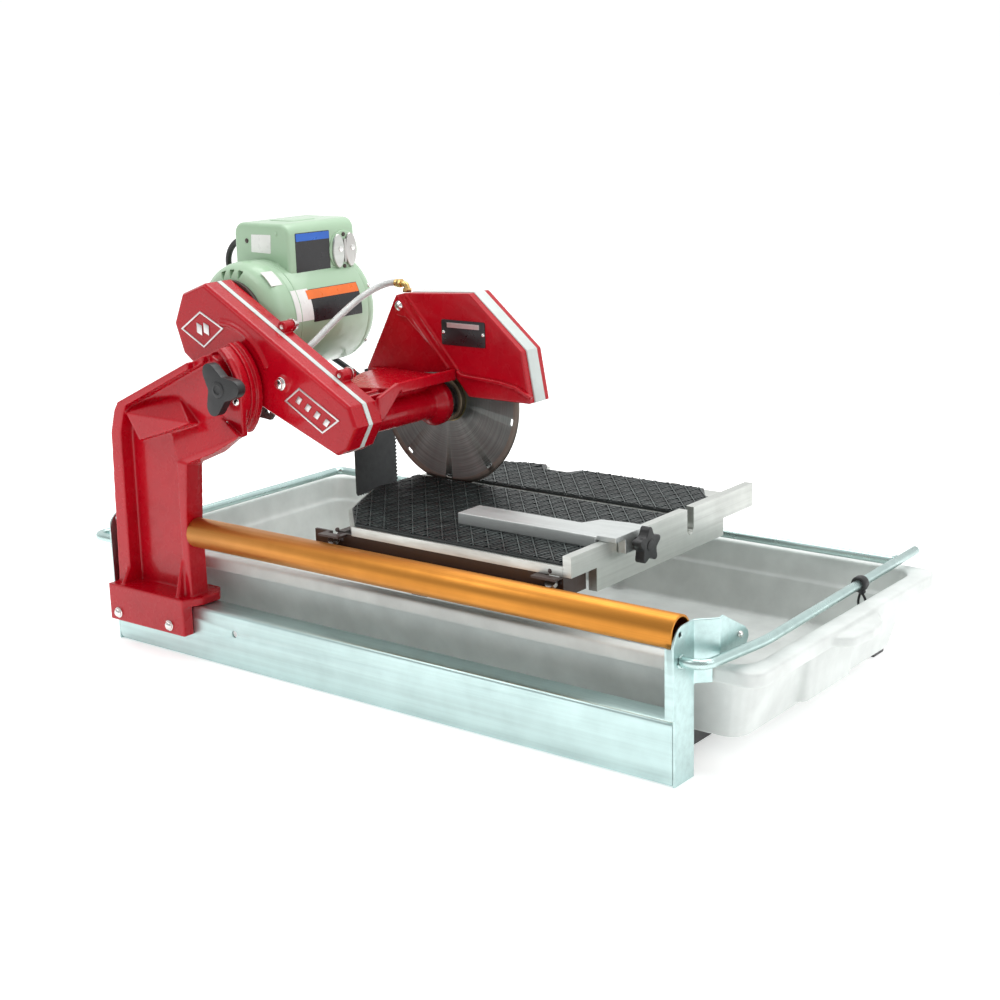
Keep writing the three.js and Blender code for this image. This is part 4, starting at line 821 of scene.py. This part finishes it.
# serrated rubber flap
yz = [(262, 384), (262, 200)]
y = 262.0
while y < 350:
    yz += [(y + 2.6, 195.6), (y + 5.2, 200)]
    y += 5.2
yz += [(354, 198)]
z = 200.0
while z < 372:
    yz += [(350.2, z + 2.8), (354, z + 5.6)]
    z += 5.6
yz += [(350.2, 384)]
put("flap_rubber", prism(yz, "X", -722.4, -718.6), RUBBER, "head", replaces=["splash_flap"], cut=block(-730, -710, 250, 292.5, 376, 392))

# water feed
bm = sweep(bent([(-648, 311, 501.4), (-648, 311, 513), (-665.8, 311, 513)], 7, 8), 4.3, 20)
put("elbow_body", bm, BRASS, "head", 0.4, 2, replaces=["water_elbow"], shade=50)
put("elbow_nut_low", prism([(-648 + 7 * math.cos(k * 60 * D2R), 311 + 7 * math.sin(k * 60 * D2R)) for k in range(6)], "Z", 500.9, 506.4), BRASS, "head", 0.6, 2)
put("elbow_nut_side", prism([(311 + 6.8 * math.cos(k * 60 * D2R), 513 + 6.8 * math.sin(k * 60 * D2R)) for k in range(6)], "X", -664.6, -657.6), BRASS, "head", 0.6, 2)
put("elbow_barb", turned((-664, 311, 513), (-1, 0, 0), [(0, 0), (4.9, 0), (5.6, 1.2), (5.6, 5.6), (4.8, 6.2), (0, 6.2)], 32), BRASS, "head", shade=45)
hp = [(-666.8, 310.9, 513), (-676, 309.6, 513), (-688, 300, 509), (-697, 272, 498), (-694, 222, 479), (-691, 180, 459), (-690, 155, 446), (-690, 142, 440.6), (-690, 130.8, 440)]
put("hose_clear", sweep(catmull(hp, 8), 4.8, 24), CLEAR, "head", replaces=["water_hose"], shade=60)
put("hose_bore", sweep(catmull(hp, 8), 2.6, 16), LABEL_W, "head", shade=60)

# lock knob
sa = 12 * D2R
sx, sz = -783 + 65 * math.cos(sa), 388 + 65 * math.sin(sa)


def lobed(r0, r1, cxx, czz, n, ph, cnt=120):
    out = []
    for i in range(cnt):
        a = 2 * math.pi * i / cnt
        w = math.cos(n * (a - ph))
        r = r0 + r1 * (w if w > 0 else w * 0.55)
        out.append((cxx + r * math.cos(a), czz + r * math.sin(a)))
    return out


LO = lobed(27.0, 13.2, sx, sz, 3, 6 * D2R)
bm = prism(LO, "Y", -4.6, 9.4)
turned((sx, 10, sz), (0, 1, 0), [(0, -3), (14, -3), (14, 9), (13, 11.4), (0, 11.4)], 40, bm)
turned((sx, -4.0, sz), (0, -1, 0), [(0, 0), (12, 0), (11, 1.6), (6.4, 2.4), (6.0, 0.8), (0, 0.8)], 40, bm)
turned((sx, 21, sz), (0, 1, 0), [(0, 0), (5, 0), (5, 39), (0, 39)], 24, bm)
put("lock_knob_black", bm, BLACK, "lock", 3.2, 4, replaces=["lock_knob"], limit=50)
# round screw heads where the sloping shelves meet the pivot plate
for k, (x, z) in enumerate(((-713.5, 381), (-734, 347))):
    put("cheek_screw_%d" % k, turned((x, 23, z), (0, -1, 0), [(0, -2), (6.0, -2), (6.0, 0.6), (5.0, 2.6), (2.6, 3.6), (0, 3.8)], 28), BRIGHT, "frame", shade=50)

# ------------------------------------------------------------------ table
keep("table_plate", ALU_MILL, 0.6)
keep("table_fence", ALU_MILL, 0.5)
keep("carriage_frame", DARK, 0.8)
for n in ("rail_roller_left", "rail_roller_right", "rear_wheel_left", "rear_wheel_right"):
    keep(n, STEEL, 0.4)


def clip(poly, a, b):
    """Part of a polygon left of the line a to b."""
    out = []
    nx, ny = -(b[1] - a[1]), b[0] - a[0]
    for i in range(len(poly)):
        p, q_ = poly[i], poly[(i + 1) % len(poly)]
        dp, dq = (p[0] - a[0]) * nx + (p[1] - a[1]) * ny, (q_[0] - a[0]) * nx + (q_[1] - a[1]) * ny
        if dp >= 0:
            out.append(p)
        if (dp >= 0) != (dq >= 0):
            t = dp / (dp - dq)
            out.append((p[0] + (q_[0] - p[0]) * t, p[1] + (q_[1] - p[1]) * t))
    return out


def clip_convex(poly, region):
    for i in range(len(region)):
        if len(poly) < 3:
            return []
        poly = clip(poly, region[i], region[(i + 1) % len(region)])
    return poly


def area(p):
    return abs(sum(p[i][0] * p[(i + 1) % len(p)][1] - p[(i + 1) % len(p)][0] * p[i][1] for i in range(len(p)))) / 2


def rib(bm, poly, z0, z1, inset=0.5):
    poly = ccw(poly)
    c = (sum(p[0] for p in poly) / len(poly), sum(p[1] for p in poly) / len(poly))
    top = []
    for p in poly:
        d_ = Vector((c[0] - p[0], c[1] - p[1]))
        L_ = d_.length or 1
        d_ = d_ / L_ * min(inset * 1.4, L_ * 0.3)
        top.append((p[0] + d_.x, p[1] + d_.y))
    va, vb = [bm.verts.new((p[0], p[1], z0)) for p in poly], [bm.verts.new((p[0], p[1], z1)) for p in top]
    n_ = len(poly)
    bm.faces.new(vb)
    for i in range(n_):
        bm.faces.new((va[i], va[(i + 1) % n_], vb[(i + 1) % n_], vb[i]))


def tread(name, outline_, region, body, node, holes=()):
    """Rubber pad whose top carries diamond cells, each filled with short ribs."""
    bm = prism(outline_, "Z", 227.3, 230.0)
    reg = ccw(region)
    A, B = Vector((0.30, 1)).normalized(), Vector((-0.86, 1)).normalized()
    LA, LB = 22.5, 22.5
    xs, ys = [p[0] for p in reg], [p[1] for p in reg]
    o0 = Vector(((min(xs) + max(xs)) / 2, (min(ys) + max(ys)) / 2))
    N = 26
    for i in range(-N, N):
        for j in range(-N, N):
            c = o0 + A * LA * i + B * LB * j
            if not (min(xs) - 40 < c.x < max(xs) + 40 and min(ys) - 40 < c.y < max(ys) + 40):
                continue
            cell = [c, c + A * LA, c + A * LA + B * LB, c + B * LB]
            cell = [(v.x, v.y) for v in cell]
            ce = ccw(cell)
            inn = ccw(offset(ce, -1.6))
            # thin raised border lines of the cell
            for e0, e1 in ((cell[0], cell[1]), (cell[0], cell[3])):
                d_ = Vector((e1[0] - e0[0], e1[1] - e0[1])).normalized()
                n_ = Vector((-d_.y, d_.x)) * 0.75
                line = ccw([(e0[0] + n_.x, e0[1] + n_.y), (e1[0] + n_.x, e1[1] + n_.y), (e1[0] - n_.x, e1[1] - n_.y), (e0[0] - n_.x, e0[1] - n_.y)])
                pl = clip_convex(line, reg)
                if len(pl) > 2 and area(pl) > 3 and not any(h(pl) for h in holes):
                    rib(bm, pl, 229.9, 231.9, 0.3)
            # ribs across it, along the table
            yc = [p[1] for p in inn]
            y_ = math.floor(min(yc) / 5.7) * 5.7
            while y_ < max(yc):
                strip = [(min(xs) - 50, y_), (max(xs) + 50, y_), (max(xs) + 50, y_ + 3.4), (min(xs) - 50, y_ + 3.4)]
                pl = clip_convex(list(inn), ccw(strip))
                if len(pl) > 2:
                    pl = clip_convex(pl, reg)
                if len(pl) > 2 and area(pl) > 7 and not any(h(pl) for h in holes):
                    rib(bm, pl, 229.9, 231.5, 0.6)
                y_ += 5.7
    bmesh.ops.recalc_face_normals(bm, faces=bm.faces)
    return put(name, bm, TREAD, body, replaces=[node], shade=25)


tread("tread_near", rounded([(-188, 47), (-528, 47), (-587, 107), (-638, 213), (-638, 307), (-188, 307)], 4, 4), offset([(-188, 47), (-528, 47), (-587, 107), (-638, 213), (-638, 307), (-188, 307)], -1.5), "cart", "table_pad_near")
far = [(-188, 325), (-638, 325), (-638, 358), (-600, 436), (-539, 457), (-509, 457), (-501, 437), (-458, 437), (-448, 457), (-236, 457), (-212, 420), (-188, 420)]
far_reg = [(-188, 325), (-638, 325), (-638, 358), (-600, 436), (-539, 457), (-188, 457)]
tread("tread_far", rounded(far, 3, 3), offset(far_reg, -1.5), "cart", "table_pad_far", holes=[lambda pl: any(p[1] > 434 and -512 < p[0] < -445 for p in pl), lambda pl: any(p[1] > 418 and p[0] > -238 + (457 - p[1]) * 0.65 for p in pl)])
# front edge fixings
for k, x in enumerate((-556, -204)):
    put("table_screw_%d" % k, turned((x, 42.3, 219), (0, -1, 0), [(0, -2), (3.0, -2), (3.0, 0.5), (2.2, 1.5), (0, 1.8)], 20), DARK, "cart", shade=50)
# rip guide
ex_ = bmesh.new()
cast("rip_guide", "rip_guide_bar", ALU_BAR, 0.7, 3, "bare_aluminium")
kn = lobed(18.5, 5.6, 166, 231, 5, 0.3, 160)
bm = prism(kn, "X", -151.6, -138.2)
turned((-152, 166, 231), (-1, 0, 0), [(0, -3), (10.4, -3), (10.0, 4), (8.6, 7.6), (0, 7.6)], 36, bm)
turned((-138.4, 166, 231), (1, 0, 0), [(0, 0), (8, 0), (7.4, 1.0), (5.0, 1.4), (0, 1.2)], 36, bm)
turned((-159, 166, 231), (-1, 0, 0), [(0, -6), (3.9, -6), (3.9, 12.2), (0, 12.2)], 20, bm)
put("guide_star_knob", bm, BLACK, "guide_screw", 2.4, 4, replaces=["guide_knob"], limit=50)

# ------------------------------------------------------------------ floor and light
fm = bpy.data.meshes.new("floor")
b2 = bmesh.new()
bmesh.ops.create_grid(b2, x_segments=1, y_segments=1, size=30)
bmesh.ops.translate(b2, verts=b2.verts, vec=(0, 0, -0.0004))
b2.to_mesh(fm)
b2.free()
floor = bpy.data.objects.new("floor", fm)
bpy.context.scene.collection.objects.link(floor)
fmat = Mat("studio_floor", 0.75)
fmat.color(fmat.ramp(fmat.noise(0.6, 2), [(0.3, (0.93, 0.93, 0.93)), (0.7, (0.94, 0.94, 0.94))]))
fmat.b.inputs["Emission Color"].default_value = (1, 1, 1, 1)
fmat.b.inputs["Emission Strength"].default_value = 0.42
fm.materials.append(fmat.m)


def light(name, loc, target, size, power, color=(1, 1, 1), size_y=None):
    L = bpy.data.lights.new(name, "AREA")
    L.energy, L.size, L.color = power, size, color
    if size_y:
        L.shape, L.size_y = "RECTANGLE", size_y
    o = bpy.data.objects.new(name, L)
    bpy.context.scene.collection.objects.link(o)
    o.location = loc
    o.rotation_euler = (Vector(target) - Vector(loc)).to_track_quat("-Z", "Y").to_euler()
    return o


light("key", (-1.1, -1.7, 2.6), (0, 0, 0.2), 1.8, 16, size_y=1.2)
light("side", (2.6, 0.2, 1.9), (0, 0, 0.2), 1.5, 8, size_y=1.5)
light("top", (0.1, 0.7, 2.9), (0, 0, 0), 2.8, 44, size_y=1.8)
w = bpy.data.worlds.new("studio")
bpy.context.scene.world = w
w.use_nodes = True
wt = w.node_tree
wc = wt.nodes.new("ShaderNodeTexCoord")
wd = wt.nodes.new("ShaderNodeVectorMath")
wd.operation = "DOT_PRODUCT"
wd.inputs[1].default_value = (0.2, -0.98, 0.0)
wt.links.new(wc.outputs["Generated"], wd.inputs[0])
wr = wt.nodes.new("ShaderNodeMapRange")
for n_, v_ in (("From Min", 0.0), ("From Max", 0.6), ("To Min", 1.02), ("To Max", 0.5)):
    wr.inputs[n_].default_value = v_
wt.links.new(wd.outputs["Value"], wr.inputs["Value"])
wt.nodes["Background"].inputs["Color"].default_value = (1, 1, 1, 1)
wt.links.new(wr.outputs["Result"], wt.nodes["Background"].inputs["Strength"])
bpy.context.scene.view_settings.view_transform = "Standard"
bpy.context.scene.view_settings.look = "None"
